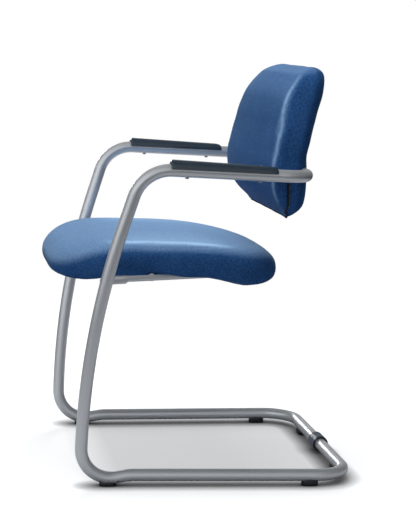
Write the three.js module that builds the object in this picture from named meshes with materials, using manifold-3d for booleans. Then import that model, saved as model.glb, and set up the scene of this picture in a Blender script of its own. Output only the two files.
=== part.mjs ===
// Sled base visitor chair with arms: one loop of bent steel tube carries an upholstered seat and back.
// Millimetres, +Z up. The sitter faces -Y and the sitter's left is +X.
import * as THREE from 'three';
import { mergeVertices } from 'three/addons/utils/BufferGeometryUtils.js';
import Module from 'manifold-3d';

const wasm = await Module();
wasm.setup();

// Fits shared by every piece
const touchGap = 0.3;
const cutOverrun = 2;
const bendStep = Math.PI / 10;
const bowStep = 110;
const tubeSides = 14;
const boreSides = 8;
const roundSides = 16;
const bendSegments = 6;

// Frame tube: one loop, y counted from the corner where the leg would meet the floor
const tubeRadius = 12.5;
const tubeWall = 2;
const runnerHeight = 21.6;
const noseDip = 18.7;
const noseLength = 97.8;
const baseLength = 554.4;
const frontHalfWidth = 250;
const rearHalfWidth = 264;
const legBowHeight = 308;
const legBowHalfWidth = 271.6;
const armRise = 224;
const armSetback = 98.4;
const armFrontHalfWidth = 293;
const armLength = 335.3;
const armFall = 7.4;
const armRearHalfWidth = 298;
const floorBendRadius = 68.7;
const kinkBendRadius = 120;
const noseBendRadius = 62.6;
const legBowRadius = 1586;
const armBendRadius = 74.4;
const backBendRadius = 55;

// Joint of the floor bar: inner sleeve and ribbed collar
const sleeveLength = 90;
const sleeveWall = 2;
const collarLength = 46;
const collarWall = 4.1;
const collarGrooveDepth = 1;
const collarGrooveWidth = 3;
const collarRibCount = 4;

// Glides under the runners and the floor bar
const glideLength = 35;
const glideWidth = 21;
const glideWrap = 5;
const frontGlideSetback = 56.4;
const rearGlideInset = 83.9;
const barGlideOffset = 150;
const barGlideLift = 2;
const glidePlugRadius = 3.5;
const glidePlugHeight = 7;

// Arm pads and their screws
const padSetback = 52.5;
const padLength = 211.8;
const padFrontRise = 8.5;
const padRearRise = 5;
const padSkirtHeight = 4;
const padFrontWidth = 36;
const padRearWidth = 32;
const padNoseLength = 6;
const padFrontScrewInset = 33.2;
const padRearScrewInset = 33.2;
const padScrewRadius = 2;
const padScrewHeadRadius = 3.6;
const padScrewHeadHeight = 2.6;
const padScrewBite = 6;

// Seat support welded between the legs
const bracketHeight = 418.2;
const bracketDepth = 15;
const bracketForward = 12.5;
const bracketRearward = 43;
const bracketThickness = 6;
const bracketBite = 4;
const bracketTiltShare = 0.07;
const railRadius = 6;
const railStartSetback = 0;
const railBendSetback = 44;
const railBendRadius = 60;
const railEndInset = 100.55;
const railEndHalfWidth = 166;
const frontBarSetback = 95;
const rearBarInset = 23;
const tabHalfSpacing = 118;
const tabWidth = 30;
const tabLength = 38;
const tabThickness = 3;
const tabHoleSetback = 18;

// Seat: pan, underside shell, foam and cover
const seatHalfWidth = 238;
const seatFrontAhead = 102.35;
const seatRearBehind = 385.55;
const seatThickness = 60.6;
const seatRimDrop = 6.2;
const seatCrown = 13;
const seatFrontFall = 12;
const seatRearFall = 30;
const seatFrontDroop = 14;
const seatRearDroop = 20;
const seatEdgeRadius = 40;
const coverThickness = 1.6;
const panRim = 36;
const panThickness = 12;
const bottomShellThickness = 2.5;
const seatScrewRadius = 3;
const seatScrewHeadRadius = 5.5;
const seatScrewHeadHeight = 3.2;
const teeNutWall = 1.3;
const teeNutFlangeRadius = 9;
const teeNutFlangeThickness = 1.5;

// Back: board, saddles on the tube, foams, cover
const backDrop = 94.8;
const backHeight = 308;
const backHalfWidth = 245;
const backFrontAhead = 64;
const backDepth = 108;
const backEdgeRadius = 22;
const backFrontCrown = 8;
const backRearCrown = 26;
const boardThickness = 9;
const boardRim = 22;
const boardGap = 7;
const boardLeanRise = 45;
const boardLeanShare = 0.257;
const saddleHalfSpacing = 100;
const saddleWidth = 40;
const saddleHeight = 30;
const boltRadius = 3;
const boltHeadRadius = 5.5;
const boltHeadHeight = 3;
const slitWidth = 4;
const slitTopAhead = 36;
const slitFootAhead = 23;
const slitFootRise = 9;
const liningDepth = 18;
const liningRecess = 1;
const hemHeight = 5;
const hemThickness = 4;
const tubeHoleGap = 1.2;

// Materials
const steelPaint = new THREE.MeshStandardMaterial({ color: 0x9a9ea0, roughness: 0.38, metalness: 0.75 });
const zincSteel = new THREE.MeshStandardMaterial({ color: 0xb5b8ba, roughness: 0.35, metalness: 0.9 });
const blackPlastic = new THREE.MeshStandardMaterial({ color: 0x17181a, roughness: 0.5, metalness: 0 });
const slatePlastic = new THREE.MeshStandardMaterial({ color: 0x2a3440, roughness: 0.5, metalness: 0 });
const blueFabric = new THREE.MeshStandardMaterial({ color: 0x3d6499, roughness: 0.85, metalness: 0 });
const navyFabric = new THREE.MeshStandardMaterial({ color: 0x17253f, roughness: 0.9, metalness: 0 });
const paleFoam = new THREE.MeshStandardMaterial({ color: 0xd9cfa8, roughness: 0.95, metalness: 0 });
const plywood = new THREE.MeshStandardMaterial({ color: 0xb58a5a, roughness: 0.7, metalness: 0 });

const chair = new THREE.Group();

function addPiece(name, geometry, material) {
  const mesh = new THREE.Mesh(geometry, material);
  mesh.name = name;
  chair.add(mesh);
}

// Solids for joining and cutting
function toSolid(geometry) {
  const bare = geometry.clone();
  bare.deleteAttribute('normal');
  bare.deleteAttribute('uv');
  const merged = mergeVertices(bare);
  const triVerts = new Uint32Array(merged.index.array);
  const vertProperties = new Float32Array(merged.attributes.position.array);
  return new wasm.Manifold(new wasm.Mesh({ numProp: 3, vertProperties, triVerts }));
}

function toGeometry(solid) {
  const mesh = solid.getMesh();
  const geometry = new THREE.BufferGeometry();
  geometry.setAttribute('position', new THREE.BufferAttribute(mesh.vertProperties, 3));
  geometry.setIndex(new THREE.BufferAttribute(mesh.triVerts, 1));
  return geometry;
}

function joinAll(solids) {
  return solids.reduce((whole, solid) => whole.add(solid));
}

function boxSolid(low, high) {
  const size = high.clone().sub(low);
  const box = new THREE.BoxGeometry(size.x, size.y, size.z);
  box.translate(low.x + size.x / 2, low.y + size.y / 2, low.z + size.z / 2);
  return toSolid(box);
}

// A rod from one point to another
function rodSolid(start, end, radius, sides = roundSides) {
  const along = end.clone().sub(start);
  const rod = new THREE.CylinderGeometry(radius, radius, along.length(), sides);
  const turn = new THREE.Quaternion().setFromUnitVectors(new THREE.Vector3(0, 1, 0), along.normalize());
  rod.applyQuaternion(turn);
  const middle = start.clone().add(end).multiplyScalar(0.5);
  rod.translate(middle.x, middle.y, middle.z);
  return toSolid(rod);
}

// A skin over rings of equal count, turning anticlockwise seen from the last ring, closed by flat fans
function skinGeometry(rings) {
  const count = rings[0].length;
  const points = rings.flat();
  const middleOf = (ring) => ring
    .reduce((sum, point) => sum.add(point), new THREE.Vector3())
    .divideScalar(count);
  points.push(middleOf(rings[0]), middleOf(rings[rings.length - 1]));
  const first = points.length - 2;
  const last = points.length - 1;
  const top = (rings.length - 1) * count;
  const faces = [];
  for (let k = 0; k < count; k += 1) {
    const next = (k + 1) % count;
    for (let ring = 0; ring < rings.length - 1; ring += 1) {
      const low = ring * count;
      const high = low + count;
      faces.push(low + k, low + next, high + next, low + k, high + next, high + k);
    }
    faces.push(first, next, k, last, top + k, top + next);
  }
  const geometry = new THREE.BufferGeometry();
  geometry.setFromPoints(points);
  geometry.setIndex(faces);
  return geometry;
}

// A centre line of straight runs and round bends, held as stations with their directions
class CentreLine extends THREE.Curve {
  constructor(corners) {
    super();
    this.points = [corners[0].at.clone()];
    this.directions = [];
    for (let k = 1; k < corners.length - 1; k += 1) {
      this.addBend(corners[k - 1].at, corners[k], corners[k + 1].at);
    }
    const end = corners[corners.length - 1].at;
    const endDirection = end.clone().sub(corners[corners.length - 2].at).normalize();
    const startDirection = corners[1].at.clone().sub(corners[0].at).normalize();
    this.points.push(end.clone());
    this.directions.unshift(startDirection);
    this.directions.push(endDirection);
  }

  addBend(before, corner, after) {
    const into = corner.at.clone().sub(before).normalize();
    const out = after.clone().sub(corner.at).normalize();
    const turn = into.angleTo(out);
    const reach = corner.radius * Math.tan(turn / 2);
    const start = corner.at.clone().addScaledVector(into, -reach);
    const inward = out.clone().addScaledVector(into, -out.dot(into)).normalize();
    const steps = Math.ceil(Math.max(turn / bendStep, (corner.radius * turn) / bowStep));
    for (let step = 0; step <= steps; step += 1) {
      const angle = (turn * step) / steps;
      const point = start.clone().addScaledVector(into, corner.radius * Math.sin(angle));
      point.addScaledVector(inward, corner.radius * (1 - Math.cos(angle)));
      this.points.push(point);
      const direction = into.clone().multiplyScalar(Math.cos(angle));
      this.directions.push(direction.addScaledVector(inward, Math.sin(angle)));
    }
  }

  station(share) {
    return Math.round(share * (this.points.length - 1));
  }

  getPoint(share, target = new THREE.Vector3()) {
    return target.copy(this.points[this.station(share)]);
  }

  getPointAt(share, target) {
    return this.getPoint(share, target);
  }

  getSpacedPoints() {
    return this.points.map((point) => point.clone());
  }

  getTangentAt(share, target = new THREE.Vector3()) {
    return target.copy(this.directions[this.station(share)]);
  }

  // The point where the line crosses a height
  atHeight(height) {
    for (let k = 1; k < this.points.length; k += 1) {
      const low = this.points[k - 1];
      const high = this.points[k];
      if (low.z < height && high.z >= height) {
        return low.clone().lerp(high, (height - low.z) / (high.z - low.z));
      }
    }
    return this.points[0].clone();
  }

  // The point of a run along +y or -y that lies at a setback, below or above a height
  atSetback(setback, aboveHeight) {
    for (let k = 1; k < this.points.length; k += 1) {
      const near = this.points[k - 1];
      const far = this.points[k];
      const crosses = (near.y - setback) * (far.y - setback) <= 0 && near.y !== far.y;
      const rightLevel = aboveHeight ? near.z > legBowHeight : near.z < legBowHeight;
      if (crosses && rightLevel) {
        return near.clone().lerp(far, (setback - near.y) / (far.y - near.y));
      }
    }
    return this.points[0].clone();
  }
}

function roundOutline(radius, sides) {
  const outline = [];
  for (let k = 0; k < sides; k += 1) {
    const angle = (2 * Math.PI * k) / sides;
    outline.push(new THREE.Vector2(radius * Math.cos(angle), radius * Math.sin(angle)));
  }
  return outline;
}

function tubeGeometry(line, radius, sides, boreRadius) {
  const section = new THREE.Shape(roundOutline(radius, sides));
  if (boreRadius) section.holes.push(new THREE.Path(roundOutline(boreRadius, boreSides)));
  return new THREE.ExtrudeGeometry(section, { extrudePath: line, steps: line.points.length - 1 });
}

// Frame tube, one half of the loop on each side
function frameCorners(side, reach) {
  const corner = (x, y, z, radius) => ({ at: new THREE.Vector3(side * x, y, z), radius });
  const armEnd = armSetback + armLength;
  return [
    corner(reach, baseLength, runnerHeight),
    corner(rearHalfWidth, baseLength, runnerHeight, floorBendRadius),
    corner(frontHalfWidth, noseLength, runnerHeight, kinkBendRadius),
    corner(frontHalfWidth, 0, runnerHeight - noseDip, noseBendRadius),
    corner(legBowHalfWidth, 0, legBowHeight, legBowRadius),
    corner(armFrontHalfWidth, armSetback, armHeight, armBendRadius),
    corner(armRearHalfWidth, armEnd, armHeight - armFall, backBendRadius),
    corner(reach, armEnd, armHeight - armFall),
  ];
}

const boreRadius = tubeRadius - tubeWall;
const armHeight = bracketHeight + armRise;
const frameLines = new Map([-1, 1].map((side) => [side, new CentreLine(frameCorners(side, touchGap / 2))]));
const backBarSetback = armSetback + armLength;
const backBarHeight = armHeight - armFall;

// The space the tube takes, with a clearance round it
function frameSpace(side, clearance) {
  return toSolid(tubeGeometry(frameLines.get(side), tubeRadius + clearance, tubeSides));
}

const frameSpaces = new Map([-1, 1].map((side) => [side, frameSpace(side, touchGap)]));

// Places on each side of the frame
function glidePlaces(side) {
  const line = frameLines.get(side);
  const bar = new THREE.Vector3(side * barGlideOffset, baseLength, runnerHeight);
  return [
    { name: 'front_glide', at: line.atSetback(frontGlideSetback, false), base: 0 },
    { name: 'rear_glide', at: line.atSetback(baseLength - rearGlideInset, false), base: 0 },
    { name: 'bar_glide', at: bar, base: barGlideLift, across: true },
  ];
}

function padScrewPlaces(side) {
  const line = frameLines.get(side);
  const padStart = armSetback + padSetback;
  return [
    { row: 'front', at: line.atSetback(padStart + padFrontScrewInset, true) },
    { row: 'rear', at: line.atSetback(padStart + padLength - padRearScrewInset, true) },
  ];
}

function frameTube(side) {
  const up = new THREE.Vector3(0, 0, 1);
  const back = new THREE.Vector3(0, 1, 0);
  let tube = toSolid(tubeGeometry(frameLines.get(side), tubeRadius, tubeSides, boreRadius));
  for (const place of glidePlaces(side)) {
    const foot = place.at.clone().addScaledVector(up, -tubeRadius - cutOverrun);
    tube = tube.subtract(rodSolid(foot, place.at, glidePlugRadius + touchGap));
  }
  for (const place of padScrewPlaces(side)) {
    const low = place.at.clone().addScaledVector(up, -tubeRadius - cutOverrun);
    const high = place.at.clone().addScaledVector(up, tubeRadius + cutOverrun);
    tube = tube.subtract(rodSolid(low, high, padScrewRadius + touchGap, boreSides));
  }
  const bolt = new THREE.Vector3(side * saddleHalfSpacing, backBarSetback, backBarHeight);
  const boltFront = bolt.clone().addScaledVector(back, -tubeRadius - cutOverrun);
  const boltRear = bolt.clone().addScaledVector(back, tubeRadius + cutOverrun);
  return tube.subtract(rodSolid(boltFront, boltRear, boltRadius + touchGap, boreSides));
}

// Inner sleeves that hold the ends of the loop together, in the floor bar and in the back bar
function sleeve(setback, height) {
  const outer = boreRadius * Math.cos(Math.PI / boreSides) - touchGap;
  const section = new THREE.Shape(roundOutline(outer, roundSides));
  section.holes.push(new THREE.Path(roundOutline(outer - sleeveWall, roundSides)));
  const pipe = new THREE.ExtrudeGeometry(section, { depth: sleeveLength, bevelEnabled: false });
  pipe.rotateY(Math.PI / 2);
  pipe.translate(-sleeveLength / 2, setback, height);
  return pipe;
}

// Ribbed plastic collar over the joint of the floor bar
function collar() {
  const inner = tubeRadius + touchGap;
  const outer = inner + collarWall;
  const pitch = collarLength / collarRibCount;
  const profile = [new THREE.Vector2(inner, 0), new THREE.Vector2(outer, 0)];
  for (let k = 1; k < collarRibCount; k += 1) {
    const middle = k * pitch;
    profile.push(new THREE.Vector2(outer, middle - collarGrooveWidth / 2));
    profile.push(new THREE.Vector2(outer - collarGrooveDepth, middle));
    profile.push(new THREE.Vector2(outer, middle + collarGrooveWidth / 2));
  }
  profile.push(new THREE.Vector2(outer, collarLength), new THREE.Vector2(inner, collarLength));
  profile.push(new THREE.Vector2(inner, 0));
  const ring = new THREE.LatheGeometry(profile, roundSides);
  ring.rotateZ(-Math.PI / 2);
  ring.translate(-collarLength / 2, baseLength, runnerHeight);
  return ring;
}

// A saddle glide: flat foot, sides wrapping the tube, plug pressed into a hole of the tube
function glide(side, place) {
  const outline = new THREE.Shape();
  const halfRun = (glideLength - glideWidth) / 2;
  outline.absarc(halfRun, 0, glideWidth / 2, -Math.PI / 2, Math.PI / 2);
  outline.absarc(-halfRun, 0, glideWidth / 2, Math.PI / 2, (3 * Math.PI) / 2);
  const top = place.at.z - tubeRadius + glideWrap;
  const block = new THREE.ExtrudeGeometry(outline, {
    depth: top - place.base,
    bevelEnabled: false,
    curveSegments: bendSegments,
  });
  if (!place.across) block.rotateZ(Math.PI / 2);
  block.translate(place.at.x, place.at.y, place.base);
  const plugFoot = new THREE.Vector3(place.at.x, place.at.y, place.base + touchGap);
  const plugTop = place.at.clone();
  plugTop.z += glidePlugHeight - tubeRadius;
  const plug = rodSolid(plugFoot, plugTop, glidePlugRadius, boreSides);
  return toSolid(block).subtract(frameSpaces.get(side)).add(plug);
}

// The pad that caps the arm's run. Its ends are given as shares of the nose length along the run,
// and of the pad's full height there
const padSectionSteps = 10;
const padNoseShares = [[0, 0.35], [0.08, 0.6], [0.3, 0.82], [0.6, 0.95], [1, 1]];
const padTailShares = [[-0.5, 1], [-0.15, 0.92], [0, 0.75]];
const padEndWidthShare = 0.8;
const padRoundnessShare = 0.8;

function armPad(side) {
  const [start, end] = padScrewPlaces(side).map((place) => place.at);
  const along = end.clone().sub(start).normalize();
  const across = new THREE.Vector3(1, 0, 0).addScaledVector(along, -along.x).normalize();
  const above = new THREE.Vector3().crossVectors(across, along);
  start.addScaledVector(along, -padFrontScrewInset);
  const stations = padNoseShares.map(([run, fullness]) => ({ run: run * padNoseLength, fullness }));
  for (const [run, fullness] of padTailShares) {
    stations.push({ run: padLength + run * padNoseLength, fullness });
  }
  const rings = stations.map(({ run, fullness }) => {
    const share = run / padLength;
    const width = THREE.MathUtils.lerp(padFrontWidth, padRearWidth, share);
    const halfWidth = (width / 2) * THREE.MathUtils.lerp(padEndWidthShare, 1, fullness);
    const rise = tubeRadius + THREE.MathUtils.lerp(padFrontRise, padRearRise, share) - padSkirtHeight;
    const ring = [];
    for (let k = padSectionSteps; k >= 0; k -= 1) {
      const angle = (Math.PI * k) / padSectionSteps;
      const outward = halfWidth * Math.sign(Math.cos(angle)) * Math.abs(Math.cos(angle)) ** padRoundnessShare;
      const height = padSkirtHeight + rise * fullness * Math.sin(angle) ** padRoundnessShare;
      const point = start.clone().addScaledVector(along, run);
      ring.push(point.addScaledVector(across, outward).addScaledVector(above, height));
    }
    return ring;
  });
  let pad = toSolid(skinGeometry(rings)).subtract(frameSpaces.get(side));
  for (const place of padScrewPlaces(side)) {
    const top = place.at.clone();
    top.z += tubeRadius + padScrewBite + touchGap;
    pad = pad.subtract(rodSolid(place.at, top, padScrewRadius + touchGap, boreSides));
  }
  return pad;
}

// A turned piece whose profile is given as radius and height above a point
function turnedGeometry(profile, at, sides) {
  const turned = new THREE.LatheGeometry(profile.map(([x, y]) => new THREE.Vector2(x, y)), sides);
  turned.rotateX(Math.PI / 2);
  turned.translate(at.x, at.y, at.z);
  return turned;
}

const screwCrownShare = 0.7;

function padScrew(at) {
  const seat = -tubeRadius - touchGap;
  const tip = tubeRadius + padScrewBite;
  return turnedGeometry([
    [0, seat - padScrewHeadHeight],
    [padScrewHeadRadius * screwCrownShare, seat - padScrewHeadHeight],
    [padScrewHeadRadius, seat - padScrewHeadHeight / 2],
    [padScrewHeadRadius, seat],
    [padScrewRadius, seat],
    [padScrewRadius, tip],
    [0, tip],
  ], at, boreSides);
}

// Seat support: a bracket on each leg, a rail from each bracket, two bars across, four tabs
function legAtBracket(side) {
  return frameLines.get(side).atHeight(bracketHeight);
}

const bracketInnerHalfWidth = legAtBracket(1).x - tubeRadius + bracketBite - bracketThickness;
const supportSetback = legAtBracket(1).y;
const railHeight = bracketHeight + bracketTiltShare * railBendSetback;
const railEndSetback = seatRearBehind - railEndInset;
const rearBarSetback = railEndSetback - rearBarInset;

function railCorners(side) {
  const startHalfWidth = bracketInnerHalfWidth - touchGap - railRadius;
  const corner = (x, y, radius) => ({
    at: new THREE.Vector3(side * x, supportSetback + y, railHeight),
    radius,
  });
  return [
    corner(startHalfWidth, railStartSetback),
    corner(startHalfWidth, railBendSetback, railBendRadius),
    corner(railEndHalfWidth, railEndSetback),
  ];
}

const railLines = new Map([-1, 1].map((side) => [side, new CentreLine(railCorners(side))]));

function seatBracket(side) {
  const leg = legAtBracket(side);
  const radius = bracketDepth / 2;
  const outline = new THREE.Shape();
  outline.absarc(bracketRearward - radius, 0, radius, -Math.PI / 2, Math.PI / 2);
  outline.absarc(radius - bracketForward, 0, radius, Math.PI / 2, (3 * Math.PI) / 2);
  const plate = new THREE.ExtrudeGeometry(outline, {
    depth: bracketThickness,
    bevelEnabled: false,
    curveSegments: bendSegments,
  });
  plate.rotateX(Math.PI / 2);
  plate.rotateZ(Math.PI / 2);
  plate.rotateX(Math.atan(bracketTiltShare));
  const inner = side > 0 ? bracketInnerHalfWidth : -bracketInnerHalfWidth - bracketThickness;
  plate.translate(inner, leg.y, bracketHeight);
  return toSolid(plate).subtract(frameSpaces.get(side));
}

function seatRail(side) {
  return tubeGeometry(railLines.get(side), railRadius, roundSides);
}

function barRod(setback, radius) {
  const share = (setback - railBendSetback) / (railEndSetback - railBendSetback);
  const startHalfWidth = bracketInnerHalfWidth - touchGap - railRadius;
  const halfLength = startHalfWidth + (railEndHalfWidth - startHalfWidth) * share;
  const y = supportSetback + setback;
  const start = new THREE.Vector3(-halfLength, y, railHeight);
  const end = new THREE.Vector3(halfLength, y, railHeight);
  return rodSolid(start, end, radius);
}

function seatBar(setback) {
  let bar = barRod(setback, railRadius);
  for (const side of [-1, 1]) {
    bar = bar.subtract(toSolid(tubeGeometry(railLines.get(side), railRadius + touchGap, roundSides)));
  }
  return bar;
}

const tabBottom = railHeight + railRadius + touchGap;
const tabTop = tabBottom + tabThickness;
const shellBottom = tabTop + touchGap;
const shellTop = shellBottom + bottomShellThickness;
const panBottom = shellTop + touchGap;
const panTop = panBottom + panThickness;
const seatScrewPlaces = [];
for (const side of [-1, 1]) {
  for (const setback of [frontBarSetback, rearBarSetback]) {
    seatScrewPlaces.push({
      side,
      row: setback === frontBarSetback ? 'front' : 'rear',
      at: new THREE.Vector3(side * tabHalfSpacing, supportSetback + setback + tabHoleSetback, tabBottom),
      barSetback: supportSetback + setback,
    });
  }
}

function seatTab(place) {
  const low = new THREE.Vector3(place.at.x - tabWidth / 2, place.barSetback - railRadius, tabBottom);
  const high = new THREE.Vector3(place.at.x + tabWidth / 2, low.y + tabLength, tabTop);
  const hole = rodSolid(
    new THREE.Vector3(place.at.x, place.at.y, tabBottom - cutOverrun),
    new THREE.Vector3(place.at.x, place.at.y, tabTop + cutOverrun),
    seatScrewRadius + touchGap,
    boreSides,
  );
  return boxSolid(low, high).subtract(hole);
}

function seatScrew(place) {
  const shank = panTop - tabBottom;
  return turnedGeometry([
    [0, -touchGap - seatScrewHeadHeight],
    [seatScrewHeadRadius, -touchGap - seatScrewHeadHeight],
    [seatScrewHeadRadius, -touchGap],
    [seatScrewRadius, -touchGap],
    [seatScrewRadius, shank],
    [0, shank],
  ], place.at, boreSides);
}

const teeNutRadius = seatScrewRadius + touchGap + teeNutWall;

function teeNut(place) {
  const inner = seatScrewRadius + touchGap;
  const at = new THREE.Vector3(place.at.x, place.at.y, panBottom);
  return turnedGeometry([
    [inner, touchGap],
    [teeNutRadius, touchGap],
    [teeNutRadius, panThickness - teeNutFlangeThickness],
    [teeNutFlangeRadius, panThickness - teeNutFlangeThickness],
    [teeNutFlangeRadius, panThickness],
    [inner, panThickness],
    [inner, touchGap],
  ], at, boreSides);
}

// Seat cushion form: rings up the side, each drawn in from the plan outline and set between
// the bottom and top heights of its place along the seat
const seatBottomHeight = tabBottom - seatRimDrop;
const seatTopHeight = seatBottomHeight + seatThickness;
const seatMiddle = supportSetback + (seatRearBehind - seatFrontAhead) / 2;
const seatHalfLength = (seatRearBehind + seatFrontAhead) / 2;
const seatOutlineSteps = 36;
const seatEdgeShares = [
  [1.5, 0.12], [0.8, 0], [0.3, 0.09], [0.05, 0.26], [0, 0.46],
  [0.06, 0.66], [0.28, 0.85], [0.75, 0.96], [1.5, 1],
];
const seatCrownShares = [2.7, 4.2];
const seatFrontSquareness = 3.6;
const seatRearSquareness = 3;
const frontFallShares = [0.55, 1];
const rearFallShares = [0, 1];
const frontDroopShares = [0.58, 0.78];
const rearDroopShares = [0.2, 0.68];

// How far a place lies between two shares of the way from the seat's middle to its end, 0 to 1
function progress(share, [start, end]) {
  return THREE.MathUtils.clamp((share - start) / (end - start), 0, 1);
}

function seatTopAt(y) {
  const share = (y - seatMiddle) / seatHalfLength;
  const front = progress(-share, frontFallShares);
  const rear = progress(share, rearFallShares);
  return seatTopHeight - seatFrontFall * front ** 2 - seatRearFall * rear ** 2;
}

function seatBottomAt(y) {
  const share = (y - seatMiddle) / seatHalfLength;
  const front = THREE.MathUtils.smoothstep(-share, ...frontDroopShares);
  const rear = THREE.MathUtils.smoothstep(share, ...rearDroopShares);
  return seatBottomHeight - seatFrontDroop * front - seatRearDroop * rear;
}

function seatOutlineRing(inset, heightAt) {
  const ring = [];
  for (let k = 0; k < seatOutlineSteps; k += 1) {
    const angle = (2 * Math.PI * (k + 0.5)) / seatOutlineSteps;
    const power = Math.sin(angle) < 0 ? seatFrontSquareness : seatRearSquareness;
    const reach = (Math.abs(Math.cos(angle)) ** power + Math.abs(Math.sin(angle)) ** power) ** (-1 / power);
    const x = (seatHalfWidth - inset) * reach * Math.cos(angle);
    const y = seatMiddle + (seatHalfLength - inset) * reach * Math.sin(angle);
    ring.push(new THREE.Vector3(x, y, heightAt(y)));
  }
  return ring;
}

function seatForm(skin) {
  const rings = seatEdgeShares.map(([insetShare, heightShare]) => seatOutlineRing(
    skin + insetShare * seatEdgeRadius,
    (y) => {
      const low = seatBottomAt(y) + skin;
      return low + heightShare * (seatTopAt(y) - skin - low);
    },
  ));
  for (const insetShare of seatCrownShares) {
    const inset = skin + insetShare * seatEdgeRadius;
    const crownShare = 1 - (1 - inset / seatHalfWidth) ** 2;
    rings.push(seatOutlineRing(inset, (y) => seatTopAt(y) - skin + seatCrown * crownShare));
  }
  return toSolid(skinGeometry(rings));
}

function seatPlate(bottom, top, rim) {
  const ring = seatOutlineRing(rim, () => bottom);
  const lifted = ring.map((point) => new THREE.Vector3(point.x, point.y, top));
  return toSolid(skinGeometry([ring, lifted]));
}

function seatHoles(radius) {
  return joinAll(seatScrewPlaces.map((place) => rodSolid(
    new THREE.Vector3(place.at.x, place.at.y, tabBottom - cutOverrun),
    new THREE.Vector3(place.at.x, place.at.y, panTop + cutOverrun),
    radius,
    boreSides,
  )));
}

function seatPan() {
  const flanges = joinAll(seatScrewPlaces.map((place) => rodSolid(
    new THREE.Vector3(place.at.x, place.at.y, panTop - teeNutFlangeThickness - touchGap),
    new THREE.Vector3(place.at.x, place.at.y, panTop + cutOverrun),
    teeNutFlangeRadius + touchGap,
    boreSides,
  )));
  return seatPlate(panBottom, panTop, panRim).subtract(seatHoles(teeNutRadius + touchGap)).subtract(flanges);
}

function seatBottomShell() {
  return seatPlate(shellBottom, shellTop, panRim).subtract(seatHoles(seatScrewRadius + touchGap));
}

const seatPocketFloor = seatBottomHeight - seatRearDroop - seatFrontDroop;
const seatPocket = seatPlate(seatPocketFloor, panTop + touchGap, panRim - touchGap);
const seatFoamForm = seatForm(coverThickness + touchGap);

// Back form: level rings from the bottom seam to the top. Each gives its level as a share of the
// back's height, its half width as a share of the widest, and its front and rear edges as shares
// of the back's depth behind the front edge at arm height
const backLevelShares = [
  [0, 0.735, 0.41, 0.44], [0.035, 0.775, 0.35, 0.568], [0.064, 0.837, 0.27, 0.58],
  [0.11, 0.906, 0.148, 0.592], [0.19, 0.967, 0.028, 0.586], [0.28, 1, 0, 0.569],
  [0.37, 1, 0.012, 0.576], [0.43, 0.998, 0.034, 0.604], [0.51, 0.985, 0.064, 0.656],
  [0.59, 0.962, 0.107, 0.706], [0.66, 0.933, 0.144, 0.764], [0.73, 0.899, 0.195, 0.824],
  [0.8, 0.862, 0.262, 0.9], [0.86, 0.828, 0.354, 0.954], [0.91, 0.794, 0.462, 0.99],
  [0.955, 0.742, 0.585, 1], [0.985, 0.665, 0.745, 0.98], [1, 0.56, 0.85, 0.93],
];
const backFaceShares = [-0.75, -0.25, 0.25, 0.75];
const backCornerSteps = 3;
const backBottomHeight = backBarHeight - backDrop;
const backFrontSetback = backBarSetback - backFrontAhead;

// One level ring: round corners, a front and a rear that bulge between them
function backRing(halfWidth, frontEdge, rearEdge, height) {
  const radius = Math.min(backEdgeRadius, (rearEdge - frontEdge) / 2);
  const fullness = radius / backEdgeRadius;
  const ring = [];
  const addPoint = (x, y, facing) => {
    const bulge = facing < 0 ? backFrontCrown : backRearCrown;
    const crown = bulge * facing * fullness * (1 - (x / halfWidth) ** 2);
    ring.push(new THREE.Vector3(x, y + crown, height));
  };
  const addCorner = (x, y, startAngle) => {
    for (let step = 0; step <= backCornerSteps; step += 1) {
      const angle = startAngle + (Math.PI / 2) * (step / backCornerSteps);
      addPoint(x + radius * Math.cos(angle), y + radius * Math.sin(angle), Math.sin(angle));
    }
  };
  const side = halfWidth - radius;
  addCorner(side, frontEdge + radius, -Math.PI / 2);
  addCorner(side, rearEdge - radius, 0);
  for (const share of [...backFaceShares].reverse()) addPoint(side * share, rearEdge, 1);
  addCorner(-side, rearEdge - radius, Math.PI / 2);
  addCorner(-side, frontEdge + radius, Math.PI);
  for (const share of backFaceShares) addPoint(side * share, frontEdge, -1);
  return ring;
}

// The whole form, drawn in by a skin all round, and by its own amount at the sides
function backForm(skin, sideSkin = skin) {
  const rings = backLevelShares.map(([level, width, front, rear]) => {
    const frontEdge = backFrontSetback + backDepth * front + skin;
    const rearEdge = backFrontSetback + backDepth * rear - skin;
    const middle = (frontEdge + rearEdge) / 2;
    const half = Math.max((rearEdge - frontEdge) / 2, touchGap);
    const height = backBottomHeight + skin + (backHeight - 2 * skin) * level;
    return backRing(backHalfWidth * width - sideSkin, middle - half, middle + half, height);
  });
  return toSolid(skinGeometry(rings));
}

// A prism across the chair from an outline given in setback and height
function acrossPrism(outline, halfWidth) {
  const shape = new THREE.Shape(outline.map(([y, z]) => new THREE.Vector2(y, z)));
  const prism = new THREE.ExtrudeGeometry(shape, { depth: 2 * halfWidth, bevelEnabled: false });
  prism.rotateX(Math.PI / 2);
  prism.rotateZ(Math.PI / 2);
  prism.translate(-halfWidth, 0, 0);
  return toSolid(prism);
}

// The board stands upright past the tube and leans back above it
const boardRear = backBarSetback - tubeRadius - boardGap;
const boardFront = boardRear - boardThickness;
const boardLeanHeight = backBarHeight + boardLeanRise;
const backTopHeight = backBottomHeight + backHeight;

function boardFaceLine(face) {
  const lean = boardLeanShare * (backTopHeight + cutOverrun - boardLeanHeight);
  return [
    [face, backBottomHeight - cutOverrun],
    [face, boardLeanHeight],
    [face + lean, backTopHeight + cutOverrun],
  ];
}

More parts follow.
